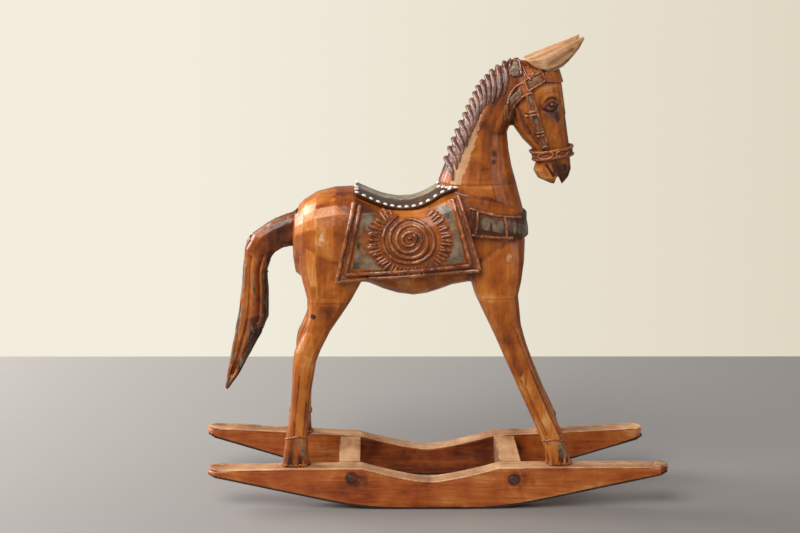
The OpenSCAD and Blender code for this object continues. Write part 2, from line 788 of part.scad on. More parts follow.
module leg_dowels() {
    color(pale_wood) for (side = [right, left]) {
        leg_peg(front_peg_at, shoulder[0][0][1], side);
        leg_peg(hind_peg_at, haunch[0][0][1], side);
    }
}

module leg_nails() {
    color("dimgray") for (side = [right, left]) nail(side, head = true);
}

rocker(right);  // rocker_right
rocker(left);  // rocker_left
runner_strip(right);  // runner_strip_right
runner_strip(left);  // runner_strip_left
crossbar(rear_bar_x);  // crossbar_rear
crossbar(front_bar_x);  // crossbar_front
crossbar_dowels();
hoof_dowels();
leg(front_leg, right, front_hoof_at, front_peg_at);  // front_leg_right
leg(front_leg, left, front_hoof_at, front_peg_at);  // front_leg_left
leg(hind_leg, right, hind_hoof_at, hind_peg_at);  // hind_leg_right
leg(hind_leg, left, hind_hoof_at, hind_peg_at);  // hind_leg_left
leg_dowels();
hoof_band(front_leg, 1.6, 1.8, right);  // hoof_band_front_right
hoof_band(front_leg, 1.6, 1.8, left);  // hoof_band_front_left
hoof_band(hind_leg, 1.7, 2, right);  // hoof_band_hind_right
hoof_band(hind_leg, 1.7, 2, left);  // hoof_band_hind_left
leg_nails();
body();
neck_and_head();
color(pale_wood) neck_pegs();  // neck_dowels
ear_piece(right);  // ear_right
ear_piece(left);  // ear_left
eyes();
tail();
color(pale_wood) tail_peg();  // tail_dowel
saddle_seat();
seat_beads(right);  // seat_beads_right
seat_beads(left);  // seat_beads_left
saddle_flap(right);  // saddle_flap_right
saddle_flap(left);  // saddle_flap_left
flap_border(right);  // flap_border_right
flap_border(left);  // flap_border_left
spiral(right);  // spiral_right
spiral(left);  // spiral_left
sun_rays(right);  // sun_rays_right
sun_rays(left);  // sun_rays_left
breast_strap();
strap_trim();
mane(right);  // mane_right
mane(left);  // mane_left
crownpiece();
browband(right);  // browband_right
browband(left);  // browband_left
forelock();
throat_latch(right);  // throat_latch_right
throat_latch(left);  // throat_latch_left
cheek_strap(right);  // cheek_strap_right
cheek_strap(left);  // cheek_strap_left
noseband();
bridle_buckles();
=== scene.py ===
"""Looks of the hand-carved rocking horse: carved and lacquered wood, worn paint and paste trim.

Every carved piece starts as a copy of its CAD node. The copy is remeshed finely, cut with
knife facets and grooves, and painted with procedural materials. Rope trim and locks are
swept along short paths that cling to the carved pieces, and dots are small domes set on the
seat. Lengths are in metres, and MM is one millimetre.
"""

import math

import bmesh
import bpy
import numpy as np
from mathutils import Matrix, Vector
from mathutils.bvhtree import BVHTree


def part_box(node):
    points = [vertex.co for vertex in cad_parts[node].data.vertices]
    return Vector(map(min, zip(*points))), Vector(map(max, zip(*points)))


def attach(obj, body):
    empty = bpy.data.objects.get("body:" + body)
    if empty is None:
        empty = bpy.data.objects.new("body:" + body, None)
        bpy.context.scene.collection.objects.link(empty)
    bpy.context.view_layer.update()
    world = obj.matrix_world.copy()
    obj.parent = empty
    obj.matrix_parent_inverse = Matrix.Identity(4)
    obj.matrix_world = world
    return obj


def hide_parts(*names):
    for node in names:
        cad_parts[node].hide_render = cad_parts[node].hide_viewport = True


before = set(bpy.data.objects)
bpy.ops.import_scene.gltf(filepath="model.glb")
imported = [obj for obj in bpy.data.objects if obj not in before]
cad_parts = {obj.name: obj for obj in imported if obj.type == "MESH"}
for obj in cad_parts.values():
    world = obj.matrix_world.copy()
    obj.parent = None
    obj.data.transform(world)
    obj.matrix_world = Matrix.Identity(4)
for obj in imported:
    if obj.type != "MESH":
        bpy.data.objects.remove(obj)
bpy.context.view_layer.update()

MM = 0.001
RIGHT = -1
LEFT = 1
SIDES = {RIGHT: "right", LEFT: "left"}
X_AXIS = np.array([1.0, 0.0, 0.0])
Y_AXIS = np.array([0.0, 1.0, 0.0])
Z_AXIS = np.array([0.0, 0.0, 1.0])
SMOOTHING = 0.6          # how far a vertex moves towards its neighbours in one step of relax
HOLLOW_DEPTH = 0.25 * MM  # a hollow this deep counts as full of stain
FACET_JITTER = 0.35      # how much the sizes of knife cuts vary
BLOCK = 6000             # vertices handled at a time, and the most knife cuts tried


# ---------------------------------------------------------------- meshes as arrays

def read(items, name, width, kind=float):
    """One property of many vertices or edges, as the rows of an array."""
    values = np.empty(len(items) * width, dtype=kind)
    items.foreach_get(name, values)
    return values.reshape(-1, width)


def coordinates(obj):
    return read(obj.data.vertices, "co", 3)


def normals(obj):
    return read(obj.data.vertex_normals, "vector", 3)


def edges(obj):
    return read(obj.data.edges, "vertices", 2, np.int64)


def set_coordinates(obj, co):
    obj.data.vertices.foreach_set("co", np.ascontiguousarray(co).ravel())
    obj.data.update()


def joined(parts):
    """The vertices and faces of several parts, as one list of each."""
    verts, faces = [], []
    for part_verts, part_faces in parts:
        base = len(verts)
        verts += list(part_verts)
        faces += [[base + i for i in face] for face in part_faces]
    return verts, faces


def skin(obj):
    return [v.co[:] for v in obj.data.vertices], [p.vertices for p in obj.data.polygons]


def linked(name, data):
    """A new object that shows a mesh, a lamp or a camera."""
    obj = bpy.data.objects.new(name, data)
    bpy.context.scene.collection.objects.link(obj)
    return obj


def new_object(name, verts, faces):
    mesh = bpy.data.meshes.new(name)
    mesh.from_pydata([tuple(v) for v in verts], [], faces)
    mesh.validate()
    mesh.update()
    return linked(name, mesh)


def set_smooth(obj):
    obj.data.polygons.foreach_set("use_smooth", [True] * len(obj.data.polygons))


def applied(obj, kind, **settings):
    """Adds one modifier and bakes it into the mesh."""
    modifier = obj.modifiers.new(kind, kind)
    for key, value in settings.items():
        setattr(modifier, key, value)
    graph = bpy.context.evaluated_depsgraph_get()
    mesh = bpy.data.meshes.new_from_object(obj.evaluated_get(graph))
    obj.modifiers.clear()
    old = obj.data
    obj.data = mesh
    bpy.data.meshes.remove(old)


def carving_blank(name, nodes, voxel, rounds=0):
    """A fine, even copy of one or more CAD nodes, ready to be carved."""
    obj = new_object(name, *joined(skin(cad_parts[node]) for node in nodes))
    applied(obj, "REMESH", mode="VOXEL", voxel_size=voxel, adaptivity=0.0)
    if rounds:
        relax(obj, rounds)
    return obj


def neighbour_mean(obj):
    """A function that gives each vertex the mean of the values of the vertices joined to it."""
    e, size = edges(obj), len(obj.data.vertices)
    count = np.bincount(e.ravel(), minlength=size).clip(1)

    def mean(values):
        if values.ndim > 1:
            return np.stack([mean(column) for column in values.T], 1)
        total = np.bincount(e[:, 0], values[e[:, 1]], size)
        return (total + np.bincount(e[:, 1], values[e[:, 0]], size)) / count

    return mean


def relax(obj, rounds):
    """Evens out the surface, with a counter step that keeps it from shrinking."""
    co, mean = coordinates(obj), neighbour_mean(obj)
    for step in (SMOOTHING, -SMOOTHING * 1.03) * rounds:
        co = co + step * (mean(co) - co)
    set_coordinates(obj, co)


def spread(obj, values, rounds):
    """Blurs one value per vertex over the surface."""
    mean = neighbour_mean(obj)
    for _ in range(rounds):
        values = 0.5 * values + 0.5 * mean(values)
    return values


def paint(obj, name, values):
    """Stores one value per vertex for the shader to read."""
    layer = obj.data.attributes.get(name) or obj.data.attributes.new(name, "FLOAT", "POINT")
    layer.data.foreach_set("value", np.asarray(values, dtype=np.float32))


def darken(obj, values):
    """Adds darkening wherever there is less of it so far: real dirt at most places, painted shade
    at some.
    """
    paint(obj, "dirt_and_shade", np.maximum(painted(obj, "dirt_and_shade"), values))


def painted(obj, name):
    layer = obj.data.attributes.get(name)
    if layer is None:
        return np.zeros(len(obj.data.vertices))
    out = np.empty(len(obj.data.vertices), dtype=np.float32)
    layer.data.foreach_get("value", out)
    return out.astype(float)


# ---------------------------------------------------------------- noise

def lattice(cells, seed):
    """A repeatable random value from 0 to 1 for each whole-number cell."""
    x, y, z = (cells[:, k].astype(np.uint32) for k in range(3))
    h = x * np.uint32(374761393) + y * np.uint32(668265263) + z * np.uint32(2147483647)
    h += np.uint32(seed * 974711 & 0xFFFFFFFF)
    h = (h ^ (h >> np.uint32(13))) * np.uint32(1274126177)
    return ((h ^ (h >> np.uint32(16))) & np.uint32(0xFFFF)).astype(float) / 65535.0


def noise(co, size, seed=0, octaves=1):
    """Smooth noise from -1 to 1 with features about size across."""
    total = np.zeros(len(co))
    gain, norm = 1.0, 0.0
    for o in range(octaves):
        p = co / (size / 2 ** o) + 1000.0
        cell = np.floor(p).astype(np.int64)
        f = p - cell
        f = f * f * (3 - 2 * f)
        value = np.zeros(len(co))
        for dx in (0, 1):
            for dy in (0, 1):
                for dz in (0, 1):
                    weight = (f[:, 0] if dx else 1 - f[:, 0]) * (f[:, 1] if dy else 1 - f[:, 1])
                    weight = weight * (f[:, 2] if dz else 1 - f[:, 2])
                    value += weight * lattice(cell + [dx, dy, dz], seed + o)
        total += gain * (2 * value - 1)
        norm += gain
        gain *= 0.5
    return total / norm


def smoothstep(low, high, x):
    t = np.clip((x - low) / (high - low), 0, 1)
    return t * t * (3 - 2 * t)


def bell(distance, width):
    return np.exp(-(distance / width) ** 2)


def most(*values):
    """The largest of several values at each vertex."""
    return np.maximum.reduce(np.broadcast_arrays(*values))


# ---------------------------------------------------------------- carving tools

def unit(v):
    return v / np.linalg.norm(v, axis=-1, keepdims=True).clip(1e-12)


def knife_facets(obj, along, length, width, depth, seed, tilt=0.5, mask=1.0):
    """Pares the surface with long, flat knife cuts.

    Each cut is a plane near a seed point: length and width are its half sizes, along is its
    direction as one vector or one per vertex, and depth is the most that it takes off or
    leaves on. Where two cuts meet they leave a crisp ridge.
    """
    co, nrm = coordinates(obj), normals(obj)
    local = np.random.default_rng(seed)
    along = np.broadcast_to(along, co.shape)
    along = unit(along - (along * nrm).sum(1)[:, None] * nrm)
    chosen = []
    for i in local.permutation(len(co))[:BLOCK]:
        if chosen:
            c = np.array(chosen)
            d = co[i] - co[c]
            s = (d * along[c]).sum(1) / length
            r = np.sqrt((np.linalg.norm(d, axis=1) / width) ** 2
                        - (s * length / width) ** 2 + s ** 2)
            if r.min() < 1.25:
                continue
        chosen.append(i)
    c = np.array(chosen)
    size = local.uniform(1 - FACET_JITTER, 1 + FACET_JITTER, len(c))
    slope = local.normal(0, tilt, (len(c), 2)) * depth
    level = local.uniform(-0.25, 0.25, len(c)) * depth
    tones = local.uniform(-1, 1, len(c))
    across = np.cross(nrm[c], along[c])
    height, second = np.empty((2, len(co)))
    owner = np.empty(len(co), dtype=np.int64)
    for k in range(0, len(co), BLOCK):
        block = slice(k, k + BLOCK)
        d = co[block, None, :] - co[c][None]
        s = (d * along[c]).sum(2) / length
        t = (d * across).sum(2) / width
        lift = (d * nrm[c]).sum(2)
        facing = nrm[block] @ nrm[c].T
        near = s * s + t * t + (lift / width) ** 2
        g = -lift / np.clip(facing, 0.4, 1) + slope[:, 0] * s + slope[:, 1] * t + level
        g += depth * size * (0.15 * near + 0.8 * np.clip(near - 1.6, 0, None))
        g[facing < 0.2] += 1.0
        owner[block] = g.argmin(1)
        g.partition(1, axis=1)
        height[block], second[block] = g[:, 0], g[:, 1]
    part = np.ones(len(co)) * mask
    ridge = np.exp((height - second) / (0.25 * depth))
    height = np.clip(height, -1.3 * depth, 1.3 * depth) - 0.25 * depth
    set_coordinates(obj, co + nrm * (height * part)[:, None])
    paint(obj, "ridge", np.maximum(painted(obj, "ridge"), part * spread(obj, ridge, 1)))
    paint(obj, "cut", painted(obj, "cut") + part * spread(obj, tones[owner], 1))


def segment_distance(co, path):
    """Distance of each point from a path of straight stretches."""
    path = np.asarray(path)
    best = np.full(len(co), 1e9)
    for a, b in zip(path[:-1], path[1:]):
        d = b - a
        t = np.clip(((co - a) @ d) / max(d @ d, 1e-12), 0, 1)
        best = np.minimum(best, np.linalg.norm(co - a - t[:, None] * d, axis=1))
    return best


def groove(obj, path, width, depth, dirt_and_shade=0.8):
    """Cuts a rounded groove along a path near the surface and darkens it: real dirt in most cuts,
    painted shade in the lines under the eyes.

    A negative depth raises a ridge instead.
    """
    co = coordinates(obj)
    path = np.asarray(path, dtype=float)
    low, high = path.min(0) - 3 * width, path.max(0) + 3 * width
    near = np.flatnonzero(((co > low) & (co < high)).all(1))
    if len(near) == 0:
        return
    d = segment_distance(co[near], path) / width
    profile = np.exp(-d * d)
    co[near] -= normals(obj)[near] * (depth * profile)[:, None]
    set_coordinates(obj, co)
    if dirt_and_shade:
        marks = np.zeros(len(co))
        marks[near] = dirt_and_shade * np.exp(-(d * 1.15) ** 2)
        darken(obj, marks)


def dent(obj, centre, radii, depth, dirt_and_shade):
    """Presses a soft hollow round a centre and darkens it: dirt at a knot, a darker socket round an
    eye, painted shadow under an eye.
    """
    co = coordinates(obj)
    profile = np.exp(-(((co - centre) / radii) ** 2).sum(1))
    set_coordinates(obj, co - normals(obj) * (depth * profile)[:, None])
    darken(obj, dirt_and_shade * profile)


def roughen(obj, size, amount, seed, octaves=3, mask=1.0, stretch=(1, 1, 1)):
    """Gives the surface the unevenness of hand work."""
    co = coordinates(obj)
    h = amount * noise(co * stretch, size, seed, octaves) * mask
    set_coordinates(obj, co + normals(obj) * h[:, None])


def hollow_dirt(obj):
    """Marks hollows, where stain gathers, from how far a blur would lift them."""
    co, mean = coordinates(obj), neighbour_mean(obj)
    blurred = co
    for _ in range(6):
        blurred = mean(blurred)
    lift = ((blurred - co) * normals(obj)).sum(1)
    paint(obj, "hollow", np.clip(lift / HOLLOW_DEPTH, -1, 1))


# ---------------------------------------------------------------- paths and ropes

def surface_of(*objects):
    """A search tree over the joined surfaces of some objects."""
    return BVHTree.FromPolygons(*joined(skin(obj) for obj in objects))


def from_side(tree, x, z, side, lift=0.0, reach=0.06):
    """The first point met when looking straight in from one side, and its normal."""
    hit, nrm, _, _ = tree.ray_cast(Vector((x, side * reach, z)), Vector((0, -side, 0)))
    if hit is None:
        hit, nrm, _, _ = tree.find_nearest(Vector((x, side * 0.5 * reach, z)))
    return np.array(hit) + lift * np.array(nrm)


def on_side(tree, line, side, lift=0.0):
    """Points given as X and Z in millimetres, dropped on one side of a surface."""
    return [from_side(tree, x * MM, z * MM, side, lift) for x, z in line]


def cling(tree, points, lift=0.0):
    """Moves points to the nearest place on a surface, then lifts them off it."""
    out = []
    for p in points:
        hit, nrm, _, _ = tree.find_nearest(Vector(p))
        if nrm.dot(Vector(p) - hit) < 0:
            nrm = -nrm
        out.append(np.array(hit) + lift * np.array(nrm))
    return np.array(out)


def smooth_path(points, step):
    """A Catmull-Rom curve through the points, cut into even steps."""
    p = np.asarray(points, dtype=float)
    p = np.vstack([2 * p[0] - p[1], p, 2 * p[-1] - p[-2]])
    dense = []
    for a, b, c, d in zip(p[:-3], p[1:-2], p[2:-1], p[3:]):
        n = max(2, int(np.linalg.norm(c - b) / (0.5 * step)))
        for t in np.arange(n) / n:
            dense.append(0.5 * (2 * b + (c - a) * t + (2 * a - 5 * b + 4 * c - d) * t * t
                                + (3 * b - a - 3 * c + d) * t ** 3))
    dense.append(p[-2])
    dense = np.array(dense)
    run = np.concatenate([[0], np.cumsum(np.linalg.norm(np.diff(dense, axis=0), axis=1))])
    count = max(3, int(run[-1] / step) + 1)
    even = np.linspace(0, run[-1], count)
    return np.stack([np.interp(even, run, dense[:, k]) for k in range(3)], 1)


CAP_ANGLES = (80, 55, 28)


def tube(path, radius, sides=10, flat=1.0, up=Y_AXIS):
    """Vertices and faces of a closed tube with rounded ends. radius is one value or one each."""
    p = np.asarray(path)
    n = len(p)
    r = np.broadcast_to(radius, n).astype(float)
    t = unit(np.gradient(p, axis=0))
    u = np.cross(t, up)
    weak = np.linalg.norm(u, axis=1) < 0.2
    u[weak] = np.cross(t[weak], X_AXIS)
    u = unit(u)
    for i in range(1, n):
        if u[i] @ u[i - 1] < 0:
            u[i] = -u[i]
    v = np.cross(t, u)
    angles = np.arange(sides) * 2 * math.pi / sides
    ring_at = [(0, -a) for a in CAP_ANGLES] + [(i, 0) for i in range(n)]
    ring_at += [(n - 1, a) for a in CAP_ANGLES[::-1]]
    rings = [(p[i] + t[i] * (math.sin(math.radians(a)) * r[i]), u[i], v[i],
              r[i] * math.cos(math.radians(a))) for i, a in ring_at]
    verts = [c + rr * (math.cos(a) * uu + math.sin(a) * flat * vv)
             for c, uu, vv, rr in rings for a in angles]
    faces = []
    for i in range(len(rings) - 1):
        for j in range(sides):
            k = (j + 1) % sides
            faces.append([i * sides + j, i * sides + k, (i + 1) * sides + k, (i + 1) * sides + j])
    faces.append(list(range(sides))[::-1])
    faces.append([(len(rings) - 1) * sides + j for j in range(sides)])
    return verts, faces


def rope_object(name, paths, radius, sides=10, step=0.45 * MM, lumps=0.12, seed=3,
                taper=((0, 1), (1, 1)), flat=1.0, up=Y_AXIS):
    """Hand-rolled paste ropes along several paths, as one object."""
    parts = []
    for k, path in enumerate(paths):
        p = smooth_path(path, step)
        r = radius * np.interp(np.linspace(0, 1, len(p)), *taper)
        r = r * (1 + lumps * noise(p + k * 0.01, 2.2 * MM, seed, 2))
        wander = [noise(p + k * 0.01, 3 * MM, seed + j) for j in (5, 6, 7)]
        p = p + 0.1 * radius * np.stack(wander, 1)
        parts.append(tube(p, r, sides, flat, up))
    return new_object(name, *joined(parts))


# ---------------------------------------------------------------- materials

class Shader:
    """A small helper to write node materials as plain lines."""

    def __init__(self, name):
        self.material = bpy.data.materials.new(name)
        self.material.use_nodes = True
        self.tree = self.material.node_tree
        self.tree.nodes.clear()
        self.out = self.tree.nodes.new("ShaderNodeOutputMaterial")
        self.surface = self.tree.nodes.new("ShaderNodeBsdfPrincipled")
        self.tree.links.new(self.surface.outputs[0], self.out.inputs[0])
        self.place = self.tree.nodes.new("ShaderNodeTexCoord").outputs["Object"]

    def put(self, socket, value):
        if isinstance(value, bpy.types.NodeSocket):
            self.tree.links.new(value, socket)
        elif isinstance(value, (tuple, list)) and len(value) == 3 and socket.type == "RGBA":
            socket.default_value = (*value, 1.0)
        else:
            socket.default_value = value

    def node(self, kind, out=0, settings=None, **inputs):
        n = self.tree.nodes.new("ShaderNode" + kind)
        for key, value in (settings or {}).items():
            setattr(n, key, value)
        for key, value in inputs.items():
            self.put(n.inputs[int(key[1:]) if key[0] == "i" and key[1:].isdigit() else key], value)
        return n.outputs[out]

    def set(self, name, value):
        self.put(self.surface.inputs[name], value)

    def math(self, operation, a, b=0.0, clamp=False):
        return self.node("Math", settings={"operation": operation, "use_clamp": clamp}, i0=a, i1=b)

    def total(self, start, *terms):
        """A starting number plus each value times its amount, held between 0 and 1."""
        for k, (value, amount) in enumerate(terms):
            part = self.math("MULTIPLY", value, amount)
            start = self.math("ADD", start, part, clamp=k == len(terms) - 1)
        return start

    def stretched(self, scale):
        return self.node("Mapping", Vector=self.place, Scale=scale)

    def noise(self, scale, detail=4.0, rough=0.55, distort=0.0, vector=None):
        return self.node("TexNoise", Vector=vector or self.place, Scale=scale, Detail=detail,
                         Roughness=rough, Distortion=distort)

    def ramp(self, value, low, high, to_low=0.0, to_high=1.0):
        return self.node("MapRange", settings={"clamp": True}, Value=value, **{
            "From Min": low, "From Max": high, "To Min": to_low, "To Max": to_high})

    def mix(self, factor, a, b):
        return self.node("Mix", out=2, settings={"data_type": "RGBA"}, i0=factor, i6=a, i7=b)

    def colours(self, value, stops):
        n = self.tree.nodes.new("ShaderNodeValToRGB")
        ramp = n.color_ramp
        ramp.elements[0].position, ramp.elements[0].color = stops[0][0], (*stops[0][1], 1)
        ramp.elements[1].position, ramp.elements[1].color = stops[-1][0], (*stops[-1][1], 1)
        for at, colour in stops[1:-1]:
            ramp.elements.new(at).color = (*colour, 1)
        self.tree.links.new(value, n.inputs[0])
        return n.outputs[0]

    def painted(self, name):
        return self.node("Attribute", out=2, settings={"attribute_name": name})

    def bump(self, height, strength, distance=0.0002, under=None):
        extra = {} if under is None else {"Normal": under}
        return self.node("Bump", Height=height, Strength=strength, Distance=distance, **extra)


# Stain colours of the lacquered wood, from crevice to worn edge
STAIN = [(0.0, (0.026, 0.006, 0.002)), (0.26, (0.120, 0.024, 0.004)),
         (0.52, (0.310, 0.072, 0.006)), (0.76, (0.470, 0.145, 0.018)),
         (1.0, (0.620, 0.310, 0.110))]
OLIVE = ((0.050, 0.032, 0.017), (0.270, 0.200, 0.125))
PALE_STAIN = [(0.0, (0.120, 0.045, 0.018)), (0.35, (0.360, 0.170, 0.075)),
              (0.65, (0.560, 0.320, 0.160)), (1.0, (0.740, 0.520, 0.310))]


def wood(name, grain_axis, stops=STAIN, gloss=0.34, coat=0.3, shade=0.0, streak=1.0):
    """Stained, lacquered wood with grain along one axis, dirt in hollows and wear on ridges."""
    s = Shader(name)
    long_way, across = 45.0, 700.0
    scale = [across, across, across]
    scale["XYZ".index(grain_axis)] = long_way
    fibres = s.noise(1.0, 5.0, 0.62, 0.6, s.stretched(tuple(scale)))
    bands = s.noise(1.0, 3.0, 0.5, 0.5, s.stretched(tuple(v * 0.2 for v in scale)))
    blotch = s.noise(70.0, 5.0, 0.6, 0.4)
    cloud = s.noise(24.0, 2.0, 0.5, 0.3)
    # The darkening marks hold real dirt and, on some pieces, painted shade; both lower the tone and
    # darken the colour here.
    patchy_dirt_and_shade = s.math("MULTIPLY", s.painted("dirt_and_shade"), s.ramp(s.noise(260.0, 3.0), 0.25, 0.6, 0.7, 1.0))
    tone = s.total(
        0.03 + shade, (s.ramp(fibres, 0.3, 0.7), 0.16 * streak),
        (s.ramp(bands, 0.3, 0.7), 0.12 * streak), (s.ramp(blotch, 0.3, 0.7), 0.32),
        (s.ramp(cloud, 0.35, 0.65), 0.22), (s.painted("cut"), 0.16), (s.painted("ridge"), 0.10),
        (s.ramp(s.painted("hollow"), 0.0, 1.0), -0.30),
        (s.ramp(s.painted("hollow"), 0.0, -1.0), 0.14), (s.painted("pale"), 0.30),
        (patchy_dirt_and_shade, -0.62))
    base = s.colours(tone, stops)
    pores = s.ramp(s.noise(1.0, 2.0, 0.6, 0.0, s.stretched(tuple(v * 1.9 for v in scale))),
                   0.66, 0.74)
    base = s.mix(s.math("MULTIPLY", pores, 0.45), base, (0.05, 0.014, 0.005))
    specks = s.ramp(s.noise(620.0, 1.0, 0.5), 0.72, 0.78)
    base = s.mix(s.math("MULTIPLY", specks, 0.5), base, (0.035, 0.012, 0.006))
    olive = s.mix(s.ramp(s.noise(110.0, 5.0, 0.65), 0.36, 0.62), OLIVE[0], OLIVE[1])
    brushed = s.noise(1.0, 5.0, 0.65, 0.3, s.stretched((420.0, 420.0, 110.0)))
    worn = s.math("ADD", s.painted("olive"), s.ramp(brushed, 0.3, 0.7, -0.34, 0.34))
    base = s.mix(s.ramp(worn, 0.42, 0.6), base, olive)
    grime_and_shade = s.math("MULTIPLY", s.painted("dirt_and_shade"), 0.5)
    base = s.mix(grime_and_shade, base, (0.030, 0.012, 0.006))
    edge = s.ramp(s.noise(300.0, 3.0), 0.3, 0.7, -0.12, 0.12)
    bare = s.ramp(s.math("ADD", s.painted("bare"), edge), 0.44, 0.56)
    base = s.mix(bare, base, s.colours(tone, PALE_STAIN))
    s.set("Base Color", base)
    rough = s.ramp(s.noise(75.0, 4.0, 0.6), 0.3, 0.7, gloss - 0.06, gloss + 0.12)
    rough = s.math("ADD", rough, s.math("MULTIPLY", bare, 0.25))
    s.set("Roughness", s.math("ADD", rough, s.math("MULTIPLY", s.painted("dirt_and_shade"), 0.18)))
    s.set("Coat Weight", coat)
    s.set("Coat Roughness", 0.12)
    s.set("Specular IOR Level", 0.3)
    rise = s.bump(fibres, 0.35, 0.00012)
    rise = s.bump(pores, 0.25, 0.0001, rise)
    s.set("Normal", s.bump(blotch, 0.25, 0.0006, rise))
    return s.material


def glaze(name, stops, scale, gloss, coat, rise=0.35, speck=(0.03, 0.012, 0.006), metal=0.0):
    """A brushed coat over a lumpy base, such as paste trim, seat paint or stained pegs."""
    s = Shader(name)
    lumps = s.noise(scale, 5.0, 0.6, 0.6)
    drift = s.noise(scale * 0.22, 3.0, 0.55)
    # pale is a painted highlight along the top of the seat; the darkening marks lower the tone.
    tone = s.total(0.0, (s.ramp(lumps, 0.3, 0.7), 0.5), (s.ramp(drift, 0.3, 0.7), 0.5),
                   (s.painted("pale"), 0.6), (s.painted("dirt_and_shade"), -0.5))
    base = s.colours(tone, stops)
    specks = s.ramp(s.noise(scale * 4.0, 1.0), 0.7, 0.76)
    base = s.mix(s.math("MULTIPLY", specks, 0.6), base, speck)
    s.set("Base Color", base)
    s.set("Roughness", s.ramp(drift, 0.3, 0.7, gloss - 0.05, gloss + 0.12))
    s.set("Coat Weight", coat)
    s.set("Coat Roughness", 0.14)
    s.set("Metallic", metal)
    s.set("Normal", s.bump(lumps, rise, 0.0003))
    return s.material


# Finishes of the pieces
carved = wood("carved_lacquer", "Z", coat=0.2, shade=0.13)
head_wood = wood("head_lacquer", "Z", shade=0.07)
tail_wood = wood("tail_lacquer", "Z", shade=-0.10)
ear_wood = wood("ear_lacquer", "X", PALE_STAIN, shade=0.10)
bar_wood = wood("bare_crossbar", "Y", PALE_STAIN, gloss=0.6, coat=0.0, shade=0.06)
flap_wood = wood("flap_lacquer", "X", gloss=0.36, shade=0.11)
strap_wood = wood("strap_lacquer", "X", gloss=0.36, shade=0.02)
PASTE = [(0.0, (0.034, 0.007, 0.002)), (0.35, (0.155, 0.034, 0.007)),
         (0.7, (0.360, 0.108, 0.024)), (1.0, (0.600, 0.285, 0.110))]
LOCKS = [(0.0, (0.028, 0.010, 0.006)), (0.35, (0.095, 0.036, 0.022)),
         (0.7, (0.210, 0.100, 0.066)), (1.0, (0.420, 0.270, 0.200))]
# The palest seat stop mostly shows where the seat's painted highlight lifts the tone.
SEAT = [(0.0, (0.014, 0.006, 0.002)), (0.4, (0.046, 0.020, 0.008)),
        (0.75, (0.095, 0.046, 0.018)), (1.0, (0.360, 0.280, 0.160))]
ROCKER_STAIN = [(0.0, (0.030, 0.006, 0.002)), (0.28, (0.130, 0.022, 0.003)),
                (0.52, (0.320, 0.062, 0.007)), (0.76, (0.430, 0.115, 0.017)),
                (1.0, (0.600, 0.250, 0.080))]
rocker_wood = wood("rocker_lacquer", "X", ROCKER_STAIN, 0.38, 0.3, 0.09, 1.7)
paste = glaze("rolled_paste", PASTE, 380.0, 0.28, 0.6)
lock_paste = glaze("mane_paste", LOCKS, 420.0, 0.36, 0.25)
seat_paint = glaze("seat_paint", SEAT, 150.0, 0.26, 0.5, 0.2)
dot_paint = glaze("dot_paint", [(0.0, (0.62, 0.60, 0.55)), (1.0, (0.92, 0.91, 0.87))], 900.0,
                  0.32, 0.3, 0.15, (0.35, 0.28, 0.2))
peg_end = glaze("peg_end_grain", [(0.0, (0.012, 0.008, 0.006)), (0.5, (0.050, 0.026, 0.016)),
                                  (1.0, (0.120, 0.062, 0.034))], 500.0, 0.5, 0.15, 0.6)
iron = glaze("nail_iron", [(0.0, (0.010, 0.010, 0.012)), (1.0, (0.085, 0.075, 0.070))], 900.0,
             0.42, 0.0, 0.6, metal=0.7)
eye_paint = glaze("eye_paint", [(0.0, (0.010, 0.004, 0.002)), (0.6, (0.075, 0.022, 0.008)),
                                (1.0, (0.200, 0.080, 0.034))], 420.0, 0.3, 0.5, 0.3)
rubber = glaze("strip_rubber", [(0.0, (0.004, 0.004, 0.005)), (1.0, (0.030, 0.029, 0.030))],
               420.0, 0.6, 0.0, 0.5, (0.05, 0.045, 0.04))


# ---------------------------------------------------------------- facts from the frame

def islands(node):
    """The separate solids of a CAD node, each as an array of its distinct corner points."""
    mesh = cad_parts[node].data
    keys = {}
    index = [keys.setdefault(tuple(round(c, 6) for c in v.co), len(keys)) for v in mesh.vertices]
    parent = list(range(len(keys)))

    def root(i):
        while parent[i] != i:
            parent[i] = parent[parent[i]]
            i = parent[i]
        return i

    for e in mesh.edges:
        parent[root(index[e.vertices[0]])] = root(index[e.vertices[1]])
    groups = {}
    for point, i in keys.items():
        groups.setdefault(root(i), []).append(point)
    return [np.array(group) for group in groups.values()]


def middle(node):
    low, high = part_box(node)
    return np.array((low + high) / 2)


def mm(*values):
    return np.array(values, dtype=float) * MM


def spoke(angle, side=1):
    return np.array([math.cos(angle), side * math.sin(angle), 0])


# Middle lines of the carved pieces seen from the side, as X and Z in millimetres. Knife cuts
# and grain run along them.
LEG_LINES = {"front": [(84.4, 26), (77.5, 50), (59.5, 90), (46.3, 123), (40.5, 142)],
             "hind": [(-92, 26), (-90, 50), (-87, 82), (-83.4, 106), (-77, 119), (-69, 139)]}
NECK_LINE = [(28, 215), (29.2, 236), (35.3, 258), (47, 278), (56, 294)]
HEAD_LINE = [(60.5, 293), (63.7, 279), (67.4, 255), (76.2, 237), (77.2, 222), (80.6, 213)]
TAIL_LINE = [(-90.5, 183), (-104, 178.6), (-112.5, 173), (-116.6, 166), (-118.9, 155),
             (-119, 140), (-120.5, 121.5), (-127.2, 102), (-133.9, 84), (-139.6, 71.7)]
# Underside of the jaw, where the head stands clear of the neck
JAW_LINE = [(66, 212), (64, 222), (66.2, 228), (63.6, 235), (56.5, 242), (49.5, 252),
            (46.5, 263), (45.5, 273), (46, 284), (50, 293)]


